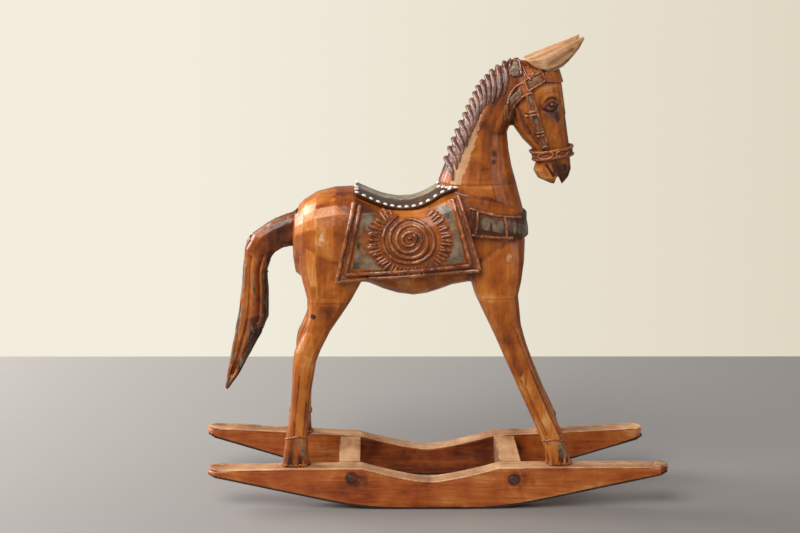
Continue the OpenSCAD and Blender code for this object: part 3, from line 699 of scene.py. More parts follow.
def flow(co, line):
    """Direction of the nearest stretches of a line seen from the side, at each point."""
    line = np.asarray(line) * MM
    middle_of, run = 0.5 * (line[1:] + line[:-1]), unit(line[1:] - line[:-1])
    d = np.linalg.norm(co[:, None, [0, 2]] - middle_of[None], axis=2)
    w = np.exp((d.min(1)[:, None] - d) / (5 * MM))
    v = (w[:, :, None] * run[None]).sum(1)
    return unit(np.stack([v[:, 0], np.zeros(len(co)), v[:, 1]], 1))


def finish_piece(obj, material, slot, *nodes):
    """Gives a piece its finish, hangs it under the root and hides the CAD nodes that it stands for.
    """
    set_smooth(obj)
    obj.data.materials.clear()
    obj.data.materials.append(material)
    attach(obj, "root")
    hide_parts(*nodes)


# ---------------------------------------------------------------- rockers and crossbars

def keep_side(obj, side):
    """Keeps the loose parts of a mesh that lie on one side of the middle."""
    cut = bmesh.new()
    cut.from_mesh(obj.data)
    seen = set()
    for start in cut.verts:
        if start in seen:
            continue
        group, front = {start}, [start]
        while front:
            for e in front.pop().link_edges:
                for v in e.verts:
                    if v not in group:
                        group.add(v)
                        front.append(v)
        seen |= group
        if sum(v.co.y for v in group) * side < 0:
            bmesh.ops.delete(cut, geom=list(group), context="VERTS")
    cut.to_mesh(obj.data)
    cut.free()


def make_pegs():
    """Worn, squashed ends of the pegs that hold the crossbars."""
    obj = carving_blank("worn_pegs", ["crossbar_dowels"], 0.4 * MM)
    co = coordinates(obj)
    for end in islands("crossbar_dowels"):
        at = end.mean(0)
        mine = np.linalg.norm((co - at)[:, [0, 2]], axis=1) < 6 * MM
        mine &= co[:, 1] * at[1] > 0
        shift = (co - at) * [0.95, 1, 0.66]
        turn = math.radians(14)
        flat = np.stack([shift[:, 0] * math.cos(turn) + shift[:, 2] * math.sin(turn), shift[:, 1],
                         shift[:, 2] * math.cos(turn) - shift[:, 0] * math.sin(turn)], 1)
        co[mine] = (at + flat)[mine]
    set_coordinates(obj, co + normals(obj) * (0.5 * MM * noise(co, 2 * MM, 35, 2))[:, None])
    finish_piece(obj, peg_end, "peg_wood", "crossbar_dowels")


def carve_rocker(side):
    name = f"rocker_{SIDES[side]}"
    obj = carving_blank(f"sawn_{name}", [name, "crossbar_dowels"], 0.7 * MM)
    low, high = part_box(name)
    keep_side(obj, side)
    co = coordinates(obj)
    tips = smoothstep(22 * MM, 4 * MM, np.minimum(co[:, 0] - low.x, high.x - co[:, 0]))
    relax(obj, 2)
    knife_facets(obj, X_AXIS, 12 * MM, 4.5 * MM, 0.5 * MM, 20 + side, mask=tips)
    roughen(obj, 3 * MM, 0.16 * MM, 21, stretch=(0.12, 1, 1))
    roughen(obj, 14 * MM, 0.25 * MM, 22, 2)
    co, nrm = coordinates(obj), normals(obj)
    cell = ((co[:, 0] - low.x) / (1.5 * MM)).astype(int).clip(0)
    top = np.full(cell.max() + 2, -1.0)
    np.maximum.at(top, cell, co[:, 2])
    below = top[cell] - co[:, 2]
    up = smoothstep(0.55, 0.8, nrm[:, 2]) * (below < 3 * MM)
    paint(obj, "bare", up)
    outer = np.abs(nrm[:, 1]) > 0.6
    edge_line = bell(below - 0.7 * MM, 0.5 * MM) * outer
    # painted shade: the inner faces between the crossbars are darkened
    inner = smoothstep(0.6, 0.9, -side * nrm[:, 1])
    marks = most(0.9 * edge_line * (0.6 + 0.4 * noise(co, 9 * MM, 23)),
                 0.4 * inner * smoothstep(56 * MM, 40 * MM, np.abs(co[:, 0])),
                 0.7 * bell(co[:, 2] - low.z, 2.2 * MM) * (0.5 + 0.7 * noise(co, 7 * MM, 25, 2)),
                 up * (0.42 + 0.3 * noise(co * [0.3, 1, 1], 8 * MM, 26, 3)))
    for at in (end.mean(0) for end in islands("crossbar_dowels")):
        if at[1] * side > 0:
            ring = bell(np.linalg.norm((co - at)[:, [0, 2]], axis=1) - 3 * MM, 1.4 * MM)
            smear = np.linalg.norm((co - at - mm(3, 0, -1))[:, [0, 2]] * [0.6, 1], axis=1)
            halo = 0.9 * bell(smear, 5 * MM) * (0.5 + 0.9 * noise(co, 3 * MM, 24, 2))
            marks = most(marks, ring * outer, halo * outer)
    paint(obj, "dirt_and_shade", np.clip(marks, 0, 1))
    hollow_dirt(obj)
    finish_piece(obj, rocker_wood, "rocker_wood", name)


def carve_crossbar(name):
    obj = carving_blank(f"sawn_{name}", [name], 0.5 * MM, 3)
    low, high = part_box(name)
    roughen(obj, 10 * MM, 0.2 * MM, 31)
    roughen(obj, 1.3 * MM, 0.06 * MM, 32, 2)
    co = coordinates(obj)
    edge = np.minimum(co[:, 0] - low.x, high.x - co[:, 0])
    ends = np.minimum(co[:, 1] - low.y, high.y - co[:, 1])
    ragged = noise(co, 4 * MM, 33, 3)
    glue = smoothstep(1.1 * MM, 0.2 * MM, edge - 0.9 * MM * ragged)
    glue = np.maximum(glue, 0.8 * smoothstep(1.6 * MM, 0.2 * MM, ends - 1.2 * MM * ragged))
    paint(obj, "dirt_and_shade", 0.55 * glue)
    hollow_dirt(obj)
    finish_piece(obj, bar_wood, "pale_wood", name)


# ---------------------------------------------------------------- legs

def ring_on(tree, centre, spokes, lift, reach=40 * MM):
    """Points where spokes from outside towards a centre meet a surface."""
    out = []
    for s in spokes:
        hit, nrm, _, _ = tree.ray_cast(Vector(centre + reach * s), Vector(-s))
        if hit is None:
            hit, nrm, _, _ = tree.find_nearest(Vector(centre + 8 * MM * s))
        out.append(np.array(hit) + lift * np.array(nrm))
    return out


# Drying cracks along the legs: how far in front of the middle line, and how long
CHECKS = {"front": [(5.2, 1.0), (-3.0, 0.45)], "hind": [(-2.5, 0.6), (4.0, 0.35)]}
# Worn paint above the hooves: where it starts and ends, in front of the middle of the wire
HOOF_PAINT = {"front": (-0.5, 5.0), "hind": (-2.0, 6.0)}
# Scar on the side of each hock, as X, Y and Z in millimetres
SCAR = [(-85, 33, 137), (-88, 34, 124), (-93, 34, 110)]


def stain_leg(obj, which, side, seed, band):
    """Splinters, worn paint and dirt at the hoof, and the line of glue at the top."""
    low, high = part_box(f"{which}_leg_{SIDES[side]}")
    co = coordinates(obj)
    foot = smoothstep(low.z + 12 * MM, low.z + 2 * MM, co[:, 2])
    splinter = noise(co * [1, 1, 0.14], 1.7 * MM, seed + 1, 2)
    set_coordinates(obj, co + normals(obj) * (foot * 0.75 * MM * splinter)[:, None])
    co, nrm = coordinates(obj), normals(obj)
    seam = high.z - co[:, 2] - 0.6 * MM * noise(co, 5 * MM, seed + 4, 2)
    marks = most(0.8 * foot * smoothstep(0.15, -0.5, splinter),
                 bell(co[:, 2] - low.z, 1.0 * MM), 0.25 * bell(seam, 0.8 * MM))
    outward = smoothstep(0.45, 0.75, nrm[:, 1] * side)
    ahead = (co[:, 0] - band[0]) / MM + 0.45 * (co[:, 2] - band[2]) / MM
    ahead += 1.6 * noise(co * [1, 1, 0.3], 2.5 * MM, seed + 6, 2)
    start, end = HOOF_PAINT[which]
    patch = smoothstep(start - 0.5, start + 0.5, ahead) * smoothstep(end + 0.5, end - 0.5, ahead)
    patch *= smoothstep(band[2] - 1 * MM, band[2] - 2.5 * MM, co[:, 2])
    patch *= smoothstep(low.z + 3 * MM, low.z + 6 * MM, co[:, 2])
    paint(obj, "olive", 0.62 * patch * outward)
    paint(obj, "dirt_and_shade", np.clip(marks, 0, 1))
    if which == "hind":
        flatten = [1, 0.3, 1]
        scar = segment_distance(co * flatten, np.array(SCAR) * [1, side, 1] * MM * flatten)
        paint(obj, "pale", bell(scar, 3.2 * MM) * outward)
    hollow_dirt(obj)
    return co


def finish_leg(obj, which, side, seed):
    name = f"{which}_{SIDES[side]}"
    band = middle(f"hoof_band_{name}")
    co = stain_leg(obj, which, side, seed, band)
    finish_piece(obj, carved, "carved_wood", f"{which}_leg_{SIDES[side]}")
    tree = surface_of(obj)
    for shift, share in CHECKS[which]:
        crack = on_side(tree, [(x + shift, z) for x, z in LEG_LINES[which][1:-1]], side)
        crack = smooth_path(crack, 2 * MM)
        crack = crack[:int(share * len(crack))]
        crack[:, 0] += 0.5 * MM * noise(crack, 9 * MM, seed + 9, 2)
        groove(obj, cling(tree, crack), 0.45 * MM, 0.3 * MM, 0.55)
    arch = []
    for angle in np.radians(np.arange(-58, 240, 12)):
        rise = mm(0, 0, 3.2 * max(0.0, math.sin(angle)) - 2.2)
        arch += ring_on(tree, band + rise, [spoke(angle, side)], 0.15 * MM)
    ring = rope_object(f"hoof_ring_{name}", [arch], 0.62 * MM, seed=seed + 5, lumps=0.18, up=Z_AXIS)
    finish_piece(ring, paste, "relief_putty", f"hoof_band_{name}")
    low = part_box(f"{which}_leg_{SIDES[side]}")[0].z
    foot_at = co[co[:, 2] < low + 3 * MM].mean(0)
    foot_at[2] = low + 0.5 * MM
    local = np.random.default_rng(seed + 6)
    crumbs = []
    turn = -1.2
    while turn < 4.2:
        size = local.uniform(0.08, 0.3)
        crumbs.append([ring_on(tree, foot_at + mm(0, 0, local.uniform(0, 1.2)),
                               [spoke(angle, side)], 0.1 * MM)[0]
                       for angle in np.linspace(turn, turn + size, 3)])
        turn += size + local.uniform(0.02, 0.16)
    filler = rope_object(f"hoof_filler_{name}", crumbs, 0.75 * MM, seed=seed + 7, lumps=0.5,
                         up=Z_AXIS)
    finish_piece(filler, carved, "relief_putty")


def make_nails(trees):
    """Rusty nail ends that hardly stand out of the wood."""
    obj = carving_blank("rusty_nails", ["leg_nails"], 0.25 * MM)
    co = coordinates(obj)
    for i, p in enumerate(co):
        hit, nrm, _, away = trees[int(np.sign(p[1]))].find_nearest(Vector(p))
        if (Vector(p) - hit).dot(nrm) > 0:
            co[i] = np.array(hit + nrm * min(0.45 * away, 0.8 * MM))
    set_coordinates(obj, co)
    roughen(obj, 1.5 * MM, 0.15 * MM, 37, 2)
    finish_piece(obj, iron, "iron", "leg_nails")


# ---------------------------------------------------------------- body, neck, head, tail, ears

LEGS = [(which, side) for which in ("front", "hind") for side in SIDES]
NECK_SEAM_Z = 215 * MM


def taken(obj, name, keep):
    """A closed copy of some faces of a mesh, as a piece of its own."""
    part = bmesh.new()
    part.from_mesh(obj.data)
    part.faces.ensure_lookup_table()
    bmesh.ops.delete(part, geom=[f for f, kept in zip(part.faces, keep) if not kept],
                     context="FACES")
    rim = [e for e in part.edges if e.is_boundary]
    for e in rim:
        e.smooth = False
    caps = bmesh.ops.holes_fill(part, edges=rim, sides=0)["faces"]
    bmesh.ops.triangulate(part, faces=caps)
    mesh = bpy.data.meshes.new(name)
    part.to_mesh(mesh)
    part.free()
    return linked(name, mesh)


def carve_carcass():
    """Body, neck, head and legs, carved as one so that the cuts run on over the glued seams.

    The result is split at those seams into one piece for each CAD node."""
    legs = [f"{which}_leg_{SIDES[side]}" for which, side in LEGS]
    obj = carving_blank("carcass", ["body", "neck_and_head", "neck_dowels", "leg_dowels"] + legs,
                        0.65 * MM, 7)
    co = coordinates(obj)
    label = np.where(co[:, 2] > NECK_SEAM_Z, 1, 0)
    body = surface_of(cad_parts["body"])
    for k, (which, side) in enumerate(LEGS):
        tree = surface_of(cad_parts[legs[k]])
        low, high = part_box(legs[k])
        inside = (co[:, 2] < high.z) & (co[:, 1] * side > 0)
        inside &= (co[:, 0] > low.x - 2 * MM) & (co[:, 0] < high.x + 2 * MM)
        for i in np.flatnonzero(inside):
            p = Vector(co[i])
            if tree.find_nearest(p)[3] < body.find_nearest(p)[3]:
                label[i] = 2 + k
    along = np.broadcast_to(unit(Z_AXIS + 0.12 * X_AXIS), co.shape).copy()
    along[label == 1] = flow(co[label == 1], NECK_LINE)
    for k, (which, _) in enumerate(LEGS):
        along[label == 2 + k] = flow(co[label == 2 + k], LEG_LINES[which])
    jaw = np.array(JAW_LINE) * MM
    jaw = jaw[np.argsort(jaw[:, 1])]
    in_head = smoothstep(-3 * MM, 2 * MM, co[:, 0] - np.interp(co[:, 2], jaw[:, 1], jaw[:, 0]))
    in_head *= co[:, 2] > 205 * MM
    knife_facets(obj, along, 19 * MM, 3.9 * MM, 0.55 * MM, 41, 0.45, 1 - in_head)
    knife_facets(obj, flow(co, HEAD_LINE), 10 * MM, 3.2 * MM, 0.34 * MM, 53, 0.5, in_head)
    roughen(obj, 14 * MM, 0.2 * MM, 42)
    roughen(obj, 1.6 * MM, 0.05 * MM, 43, 2)
    face_label = label[read(obj.data.polygons, "vertices", 4, np.int64)].max(1)
    names = ["body", "neck_and_head"] + legs
    pieces = [taken(obj, f"carved_{name}", face_label == k) for k, name in enumerate(names)]
    bpy.data.objects.remove(obj)
    return pieces


# Places rubbed pale on the body, seen from the side: middle and half sizes in millimetres
RUBBED = [(-74, 182, 5, 10), (-84, 196, 3.5, 10), (48, 166, 4.5, 11)]


def finish_body(obj):
    co = coordinates(obj)
    seam = NECK_SEAM_Z - co[:, 2] - 0.7 * MM * noise(co, 6 * MM, 44, 2)
    paint(obj, "dirt_and_shade", 0.5 * bell(seam, 0.9 * MM))
    bare = np.zeros(len(co))
    for x, z, wide, tall in RUBBED:
        spot = ((co[:, 0] - x * MM) / (wide * MM)) ** 2 + ((co[:, 2] - z * MM) / (tall * MM)) ** 2
        bare = np.maximum(bare, np.exp(-spot))
    ragged = 0.2 * noise(co * [1, 1, 0.5], 5 * MM, 48, 2)
    paint(obj, "bare", (0.5 + ragged) * bare * (np.abs(co[:, 1]) > 10 * MM))
    paint(obj, "pale", 0.5 * bare)
    hollow_dirt(obj)
    finish_piece(obj, carved, "carved_wood", "body")


# Carved lines round each eye, as X and Z in millimetres from its middle, with the half width,
# depth and darkness of each cut: dirt along the lids, painted shade in the line below the eye.
# A negative depth raises a ridge.
EYE_LINES = [
    ([(-5.6, -1.2), (-3.9, 1.3), (-1.0, 2.7), (2.2, 2.5), (4.4, 1.2)], 0.8, -0.5, 0.5),
    ([(-5.6, -1.2), (-3.2, -2.6), (0.2, -2.7), (3.0, -1.2), (4.4, 1.2)], 0.8, -0.5, 0.5),
    ([(-5.4, 1.6), (-3.0, 3.6), (0.4, 4.4), (4.6, 3.4)], 0.7, 0.35, 0.4),
    ([(-6.8, 1.4), (-4.6, 4.6), (-1.4, 6.2), (3, 6.2), (5.8, 4.4)], 1.5, -0.7, 0.0),
    # The last line, running down and forward from under the eye, is a shallow groove darkened with
    # painted shade.
    ([(0.6, -5.2), (3.2, -7.0), (6.0, -9.5)], 2.2, 0.5, 0.7)]
# The same for the mouth, lip, nostril, hollow cheek and jaw, but from the frame's own origin
FACE_LINES = [
    ([(72.8, 226), (75.3, 222.2), (77.6, 218.6)], 0.8, 0.9, 1.0),
    ([(76.9, 226), (78.0, 222.4), (78.6, 219.4)], 0.7, 0.45, 0.7),
    ([(84.6, 225.6), (85.6, 224.2), (85.2, 222.6)], 1.0, 0.8, 1.0),
    ([(54.5, 262), (56.6, 254), (60.5, 247.5)], 2.4, 0.6, 0.35),
    ([(50.5, 270), (55, 258.5), (63, 245), (67, 240)], 0.8, 0.25, 0.4)]
# Knots in the neck: X, Z and radius in millimetres, and dirt
KNOTS = [(37.8, 234, 2.1, 0.75), (37.4, 229.2, 1.5, 1.0)]
# Heights up the neck, in millimetres, with the line of its crest and of the rubbed stripe
CREST_Z, CREST_X = (215, 225, 236, 247, 258, 268, 278, 286, 291), (
    1.5, 5.2, 9.2, 13.6, 18.6, 23, 28, 35, 42)
STRIPE_Z, STRIPE_X = (215, 226, 235, 245, 255, 263.5), (13, 16, 18.9, 21.9, 24.8, 28.3)


def carve_face(obj, side):
    """Sinks an eye with its lids and brow into one side, and cuts the lines of the face."""
    tree = surface_of(obj)
    at = max((i.mean(0) for i in islands("eyes")), key=lambda p: p[1] * side)
    # The socket round the eye is sunk and darkened.
    dent(obj, from_side(tree, at[0], at[2], side), mm(6.5, 6, 5), 0.8 * MM, 0.4)
    # painted shadow under the eye, in a shallow dent
    under = from_side(tree, at[0] + 1 * MM, at[2] - 6.5 * MM, side)
    dent(obj, under, mm(5, 6, 4.5), 0.2 * MM, 0.7)
    tree = surface_of(obj)
    cuts = []
    for line, *cut in EYE_LINES:
        points = [np.array([at[0] + x * MM, side * 14 * MM, at[2] + z * MM]) for x, z in line]
        cuts.append((cling(tree, smooth_path(points, 0.5 * MM)), *cut))
    # painted shade along a line just under the lower lid
    below_lid = [p + mm(0, 0, -1.6) for p in cuts[1][0]]
    cuts.append((below_lid, 1.2, 0.45, 0.75))
    for line, *cut in FACE_LINES:
        cuts.append((cling(tree, smooth_path(on_side(tree, line, side), 0.5 * MM)), *cut))
    for path, width, depth, dirt_and_shade in cuts:
        groove(obj, path, width * MM, depth * MM, dirt_and_shade)


def finish_head(obj):
    for side in SIDES:
        carve_face(obj, side)
        if side == RIGHT:
            tree = surface_of(obj)
            for x, z, r, dirt_and_shade in KNOTS:
                dent(obj, from_side(tree, x * MM, z * MM, side), mm(r, 2, r), 0.25 * MM, dirt_and_shade)
    co = coordinates(obj)
    z = co[:, 2]
    muzzle = smoothstep(0, 3 * MM, co[:, 0] - 77.5 * MM - 0.35 * (221 * MM - z))
    muzzle *= smoothstep(229.5 * MM, 224.5 * MM, z + 0.25 * (co[:, 0] - 82 * MM))
    stain = smoothstep(45 * MM, 52 * MM, co[:, 0]) * (z > 222 * MM)
    stain *= smoothstep(-0.1, 0.5, noise(co, 11 * MM, 45, 3))
    mane_side = 11 * MM * smoothstep(222 * MM, 262 * MM, z) + 5.5 * MM
    crest = np.interp(z, mm(*CREST_Z), mm(*CREST_X))
    # painted shade on the neck under and between the locks of the mane
    shade_under_mane = smoothstep(1.5 * MM, -1 * MM, co[:, 0] - crest - mane_side) * (z > 222 * MM)
    seam = z - NECK_SEAM_Z - 0.7 * MM * noise(co, 6 * MM, 44, 2)
    darken(obj, most(muzzle * (0.85 + 0.3 * noise(co, 4 * MM, 46, 2)), 0.3 * stain,
                     0.3 * shade_under_mane, 0.3 * (co[:, 0] < 58 * MM) * bell(seam, 0.9 * MM)))
    stripe = co[:, 0] - np.interp(z, mm(*STRIPE_Z), mm(*STRIPE_X))
    width = np.interp(z, mm(216, 235, 265), mm(6.8, 6.2, 4.6))
    rubbed = bell(stripe, width) * smoothstep(273 * MM, 266 * MM, z)
    rubbed *= 0.75 + 0.5 * noise(co * [1, 1, 0.4], 7 * MM, 47, 2)
    brow = segment_distance(co * [1, 0, 1], [mm(66, 0, 276), mm(76, 0, 278)])
    lip = segment_distance(co * [1, 0, 1], [mm(67, 0, 222), mm(74, 0, 215)])
    fore = most(bell(brow, 4 * MM), bell(lip, 4.5 * MM))
    paint(obj, "pale", 0.2 * rubbed + 0.6 * fore)
    paint(obj, "bare", 0.85 * rubbed)
    hollow_dirt(obj)
    finish_piece(obj, head_wood, "carved_wood", "neck_and_head")


def carve_eyes():
    """Flat, almond-like eyes sunk between the lids."""
    obj = carving_blank("carved_eyes", ["eyes"], 0.3 * MM)
    co = coordinates(obj)
    for eye in islands("eyes"):
        at = eye.mean(0)
        mine = co[:, 1] * at[1] > 0
        co[mine] = at + (co[mine] - at) * [1.0, 0.75, 0.78] - mm(0, np.sign(at[1]) * 0.3, 0)
        pupil = np.linalg.norm((co - at - mm(0.3, 0, 0.2))[:, [0, 2]], axis=1)
        darken(obj, smoothstep(1.5 * MM, 1 * MM, pupil))
    set_coordinates(obj, co)
    finish_piece(obj, eye_paint, "eye_paint", "eyes")


def carve_tail():
    obj = carving_blank("carved_tail", ["tail"], 0.6 * MM, 4)
    co = coordinates(obj)
    knife_facets(obj, flow(co, TAIL_LINE), 18 * MM, 3.4 * MM, 0.5 * MM, 61, 0.45)
    line = np.asarray(TAIL_LINE) * MM
    for side in SIDES:
        for share, width, depth, last in ((-0.42, 1.7, 1.7, -1), (0.30, 1.9, 1.8, -3)):
            stretch = []
            for x, z in line[3:last]:
                half = 0.5 * np.ptp(co[np.abs(co[:, 2] - z) < 1.2 * MM, 0])
                stretch.append((x + share * half, z - 2 * MM))
            tree = surface_of(obj)
            path = [from_side(tree, x, z, side) for x, z in stretch]
            groove(obj, smooth_path(path, 1 * MM), width * MM, depth * MM, 0.0)
            glow = bell(segment_distance(coordinates(obj), path), 1.9 * MM)
            paint(obj, "pale", np.maximum(painted(obj, "pale"), 1.5 * glow))
    roughen(obj, 6 * MM, 0.3 * MM, 62)
    root = bell(coordinates(obj)[:, 0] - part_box("tail")[1].x, 9 * MM)
    roughen(obj, 3.5 * MM, 0.9 * MM, 63, 2, root)
    co = coordinates(obj)
    centre_x = np.interp(co[:, 2], line[::-1, 1][:7], line[::-1, 0][:7])
    share = (co[:, 0] - centre_x) / (9 * MM)
    lit = np.clip(painted(obj, "pale"), 0, 1)
    stripes = smoothstep(172 * MM, 160 * MM, co[:, 2]) * (1 - lit)
    bend = segment_distance(co * [1, 0.3, 1], [mm(-117, 0, 183), mm(-98, 0, 190)])
    paint(obj, "dirt_and_shade", np.clip(0.8 * smoothstep(-0.1, 0.5, share) * stripes, 0, 1))
    paint(obj, "olive", np.clip(0.5 * stripes + 0.55 * bell(bend, 4.5 * MM), 0, 1))
    hollow_dirt(obj)
    finish_piece(obj, tail_wood, "carved_wood", "tail")


def carve_ear(side):
    name = f"ear_{SIDES[side]}"
    obj = carving_blank(f"carved_{name}", [name], 0.4 * MM, 5)
    low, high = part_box(name)
    run = unit(np.array([high.x - low.x, 0, 0.75 * (high.z - low.z)]))
    knife_facets(obj, run, 12 * MM, 2.4 * MM, 0.3 * MM, 71 + side, 0.3)
    tree = surface_of(obj)
    path = on_side(tree, [(73, 291.5), (80, 296), (87, 301)], side)
    groove(obj, path, 1.9 * MM, 0.9 * MM, 0.25)
    under = [p + mm(1.5, 0, -5) for p in path]
    groove(obj, cling(tree, under), 1.2 * MM, 0.2 * MM, 0.55)
    roughen(obj, 1.4 * MM, 0.05 * MM, 73, 2)
    hollow_dirt(obj)
    finish_piece(obj, ear_wood, "ear_wood", name)


# ---------------------------------------------------------------- saddle

def dab(centre, normal, along, radii, rings=7, sides=14):
    """A small dome of thick paint: half sizes along, across and up."""
    n = unit(normal)
    a = unit(along - (along @ n) * n)
    axes = np.array(radii)[:, None] * [a, np.cross(n, a), n]
    lat = math.pi * np.arange(1, rings)[:, None] / rings
    turn = 2 * math.pi * np.arange(sides)[None] / sides
    shape = np.stack([np.sin(lat) * np.cos(turn), np.sin(lat) * np.sin(turn),
                      np.cos(lat) + 0 * turn], 2).reshape(-1, 3)
    verts = list(centre + shape @ axes) + [centre + axes[2], centre - axes[2]]
    top, bottom, last = len(verts) - 2, len(verts) - 1, (rings - 2) * sides
    around = [(j, (j + 1) % sides) for j in range(sides)]
    faces = [[i + j, i + sides + j, i + sides + k, i + k]
             for i in range(0, last, sides) for j, k in around]
    for j, k in around:
        faces += [[top, j, k], [bottom, last + k, last + j]]
    return verts, faces


def make_seat():
    obj = carving_blank("painted_seat", ["saddle_seat"], 0.5 * MM, 4)
    roughen(obj, 9 * MM, 0.15 * MM, 81)
    roughen(obj, 1.2 * MM, 0.03 * MM, 82, 2)
    co = coordinates(obj)
    # painted highlight: the middle strip along the top of the seat is paler
    paint(obj, "pale", 0.8 * smoothstep(10 * MM, 7 * MM, np.abs(co[:, 1])))
    paint(obj, "dirt_and_shade", 0.4 * bell(co[:, 0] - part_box("saddle_seat")[0].x, 3 * MM))
    finish_piece(obj, seat_paint, "seat_paint", "saddle_seat")
    return obj


# Foot of the neck where the seat meets it: middle and half sizes of its rounded outline
NECK_FOOT = (27.9, 26.4, 20.0)


def make_dots(side, seat):
    """Raised dots along the seat's lower edge, up its cantle and round the foot of the neck."""
    tree = surface_of(seat)
    local = np.random.default_rng(85 + side)
    row = sorted((i.mean(0) for i in islands(f"seat_beads_{SIDES[side]}")), key=lambda p: p[0])
    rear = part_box("saddle_seat")[0].x / MM + 1.3
    extra = [mm(rear, side * y, 213) for y in (13.5, 8.5)]
    for x in (0.6, 3.6, 6.7, 9.8, 12.8):
        share = (NECK_FOOT[0] - x - 2) / NECK_FOOT[1]
        extra.append(mm(x, side * NECK_FOOT[2] * (1 - share ** 2.5) ** 0.4, 216))
    points = cling(tree, row + extra)
    parts = []
    for k, p in enumerate(points):
        nrm = tree.find_nearest(Vector(p))[1]
        along = points[k + 1] - points[k - 1] if 0 < k < len(row) - 1 else \
            X_AXIS * 0.6 + Y_AXIS * side * -0.2
        radii = mm(local.uniform(1.4, 1.65), local.uniform(1.0, 1.15), 0.8)
        parts.append(dab(p, np.array(nrm), unit(along), radii))
    obj = new_object(f"paint_dots_{SIDES[side]}", *joined(parts))
    finish_piece(obj, dot_paint, "dot_paint", f"seat_beads_{SIDES[side]}")


# Corners of each flap seen from the side, in millimetres, and its spiral
FLAP_TOP = [(-52.5, 206.5), (14.5, 209.5)]
FLAP_HEM = [(-64.5, 153.5), (29, 160.5)]
FLAP_DIP = 10
SPIRAL_SQUASH = 0.9
SPIRAL_TURNS = 4
SPIRAL_STEPS = 28
SPIRAL_IN = 1.5 * MM
SPIRAL_OUT = 18.2 * MM
SPIRAL_END = math.radians(118)
RAYS = 44
RAY_FROM = math.radians(125)
RAY_SWEEP = math.radians(290)


# Middle of the breast strap's curve, its reach to each side, and its upright bars, each as an
# angle from straight ahead and a lean in degrees
STRAP_HUB_X = 20 * MM
STRAP_HALF_TURN = math.radians(84)
STRAP_BARS = ((78, 4), (47, 0))


def flap_at(u, v):
    """Place on a flap seen from the side, at a share of its width and of its height."""
    top, hem = ((1 - u) * mm(*rear) + u * mm(*front) for rear, front in (FLAP_TOP, FLAP_HEM))
    top[1] -= FLAP_DIP * (1 - (2 * u - 1) ** 2) * MM
    return top * (1 - v) + hem * v


def clear_of(obj, tree, side, gap):
    """Moves a thin piece outwards wherever what lies behind it would show through."""
    own = surface_of(obj)
    co = coordinates(obj)
    shift = np.zeros(len(co))
    for i, p in enumerate(co):
        skin = from_side(tree, p[0], p[2], side)[1] * side
        shift[i] = max(0.0, skin + gap - from_side(own, p[0], p[2], side)[1] * side)
    co[:, 1] += side * spread(obj, shift, 6)
    set_coordinates(obj, co)


def on_ring(tree, centre, side, angle, r, lift):
    """A point of a flap at an angle and distance from the middle of its spiral."""
    return from_side(tree, centre[0] + r * math.cos(angle),
                     centre[2] + SPIRAL_SQUASH * r * math.sin(angle), side, lift)


def spiral_paths(tree, centre, side):
    """The coil and the small knob at its outer end."""
    coil = []
    steps = SPIRAL_TURNS * SPIRAL_STEPS
    for i in range(steps + 1):
        angle = SPIRAL_END + 2 * math.pi * (steps - i) / SPIRAL_STEPS
        r = SPIRAL_IN + (SPIRAL_OUT - SPIRAL_IN) * (i / steps)
        r += 0.25 * MM * math.sin(2.3 * angle + 0.7)
        coil.append(on_ring(tree, centre, side, angle, r, 0.3 * MM))
    knob = [from_side(tree, centre[0] + x * MM, centre[2] + z * MM, side, 0.5 * MM)
            for x, z in ((2.4, 3.6), (3.6, 2.4), (4.2, 0.6))]
    return [coil, knob]


def ray_paths(tree, centre, side):
    wobble = np.random.default_rng(91 + side)
    rays = []
    for i in range(RAYS):
        angle = RAY_FROM + RAY_SWEEP * i / (RAYS - 1) + wobble.uniform(-0.02, 0.02)
        lean = wobble.uniform(-0.05, 0.05)
        start, end = wobble.uniform(20.2, 21.2), wobble.uniform(25.6, 27.2)
        rays.append([on_ring(tree, centre, side, angle + lean * share,
                             (start + (end - start) * share) * MM, 0.15 * MM)
                     for share in (0, 0.5, 1)])
    return rays


def border_paths(tree, side):
    """The outer and the inner border of a flap, each open at the top."""
    borders = []
    for inset, corner in ((0.004, 0.004), (0.056, 0.02)):
        hem = 1 - 1.6 * inset
        run = [(inset, v) for v in np.linspace(0.06, hem - corner, 8)]
        run += [(u, hem) for u in np.linspace(inset + corner, 1 - inset - corner, 10)]
        run += [(1 - inset, v) for v in np.linspace(hem - corner, 0.03, 8)]
        borders.append([from_side(tree, *flap_at(u, v), side, 0.35 * MM) for u, v in run])
    return borders


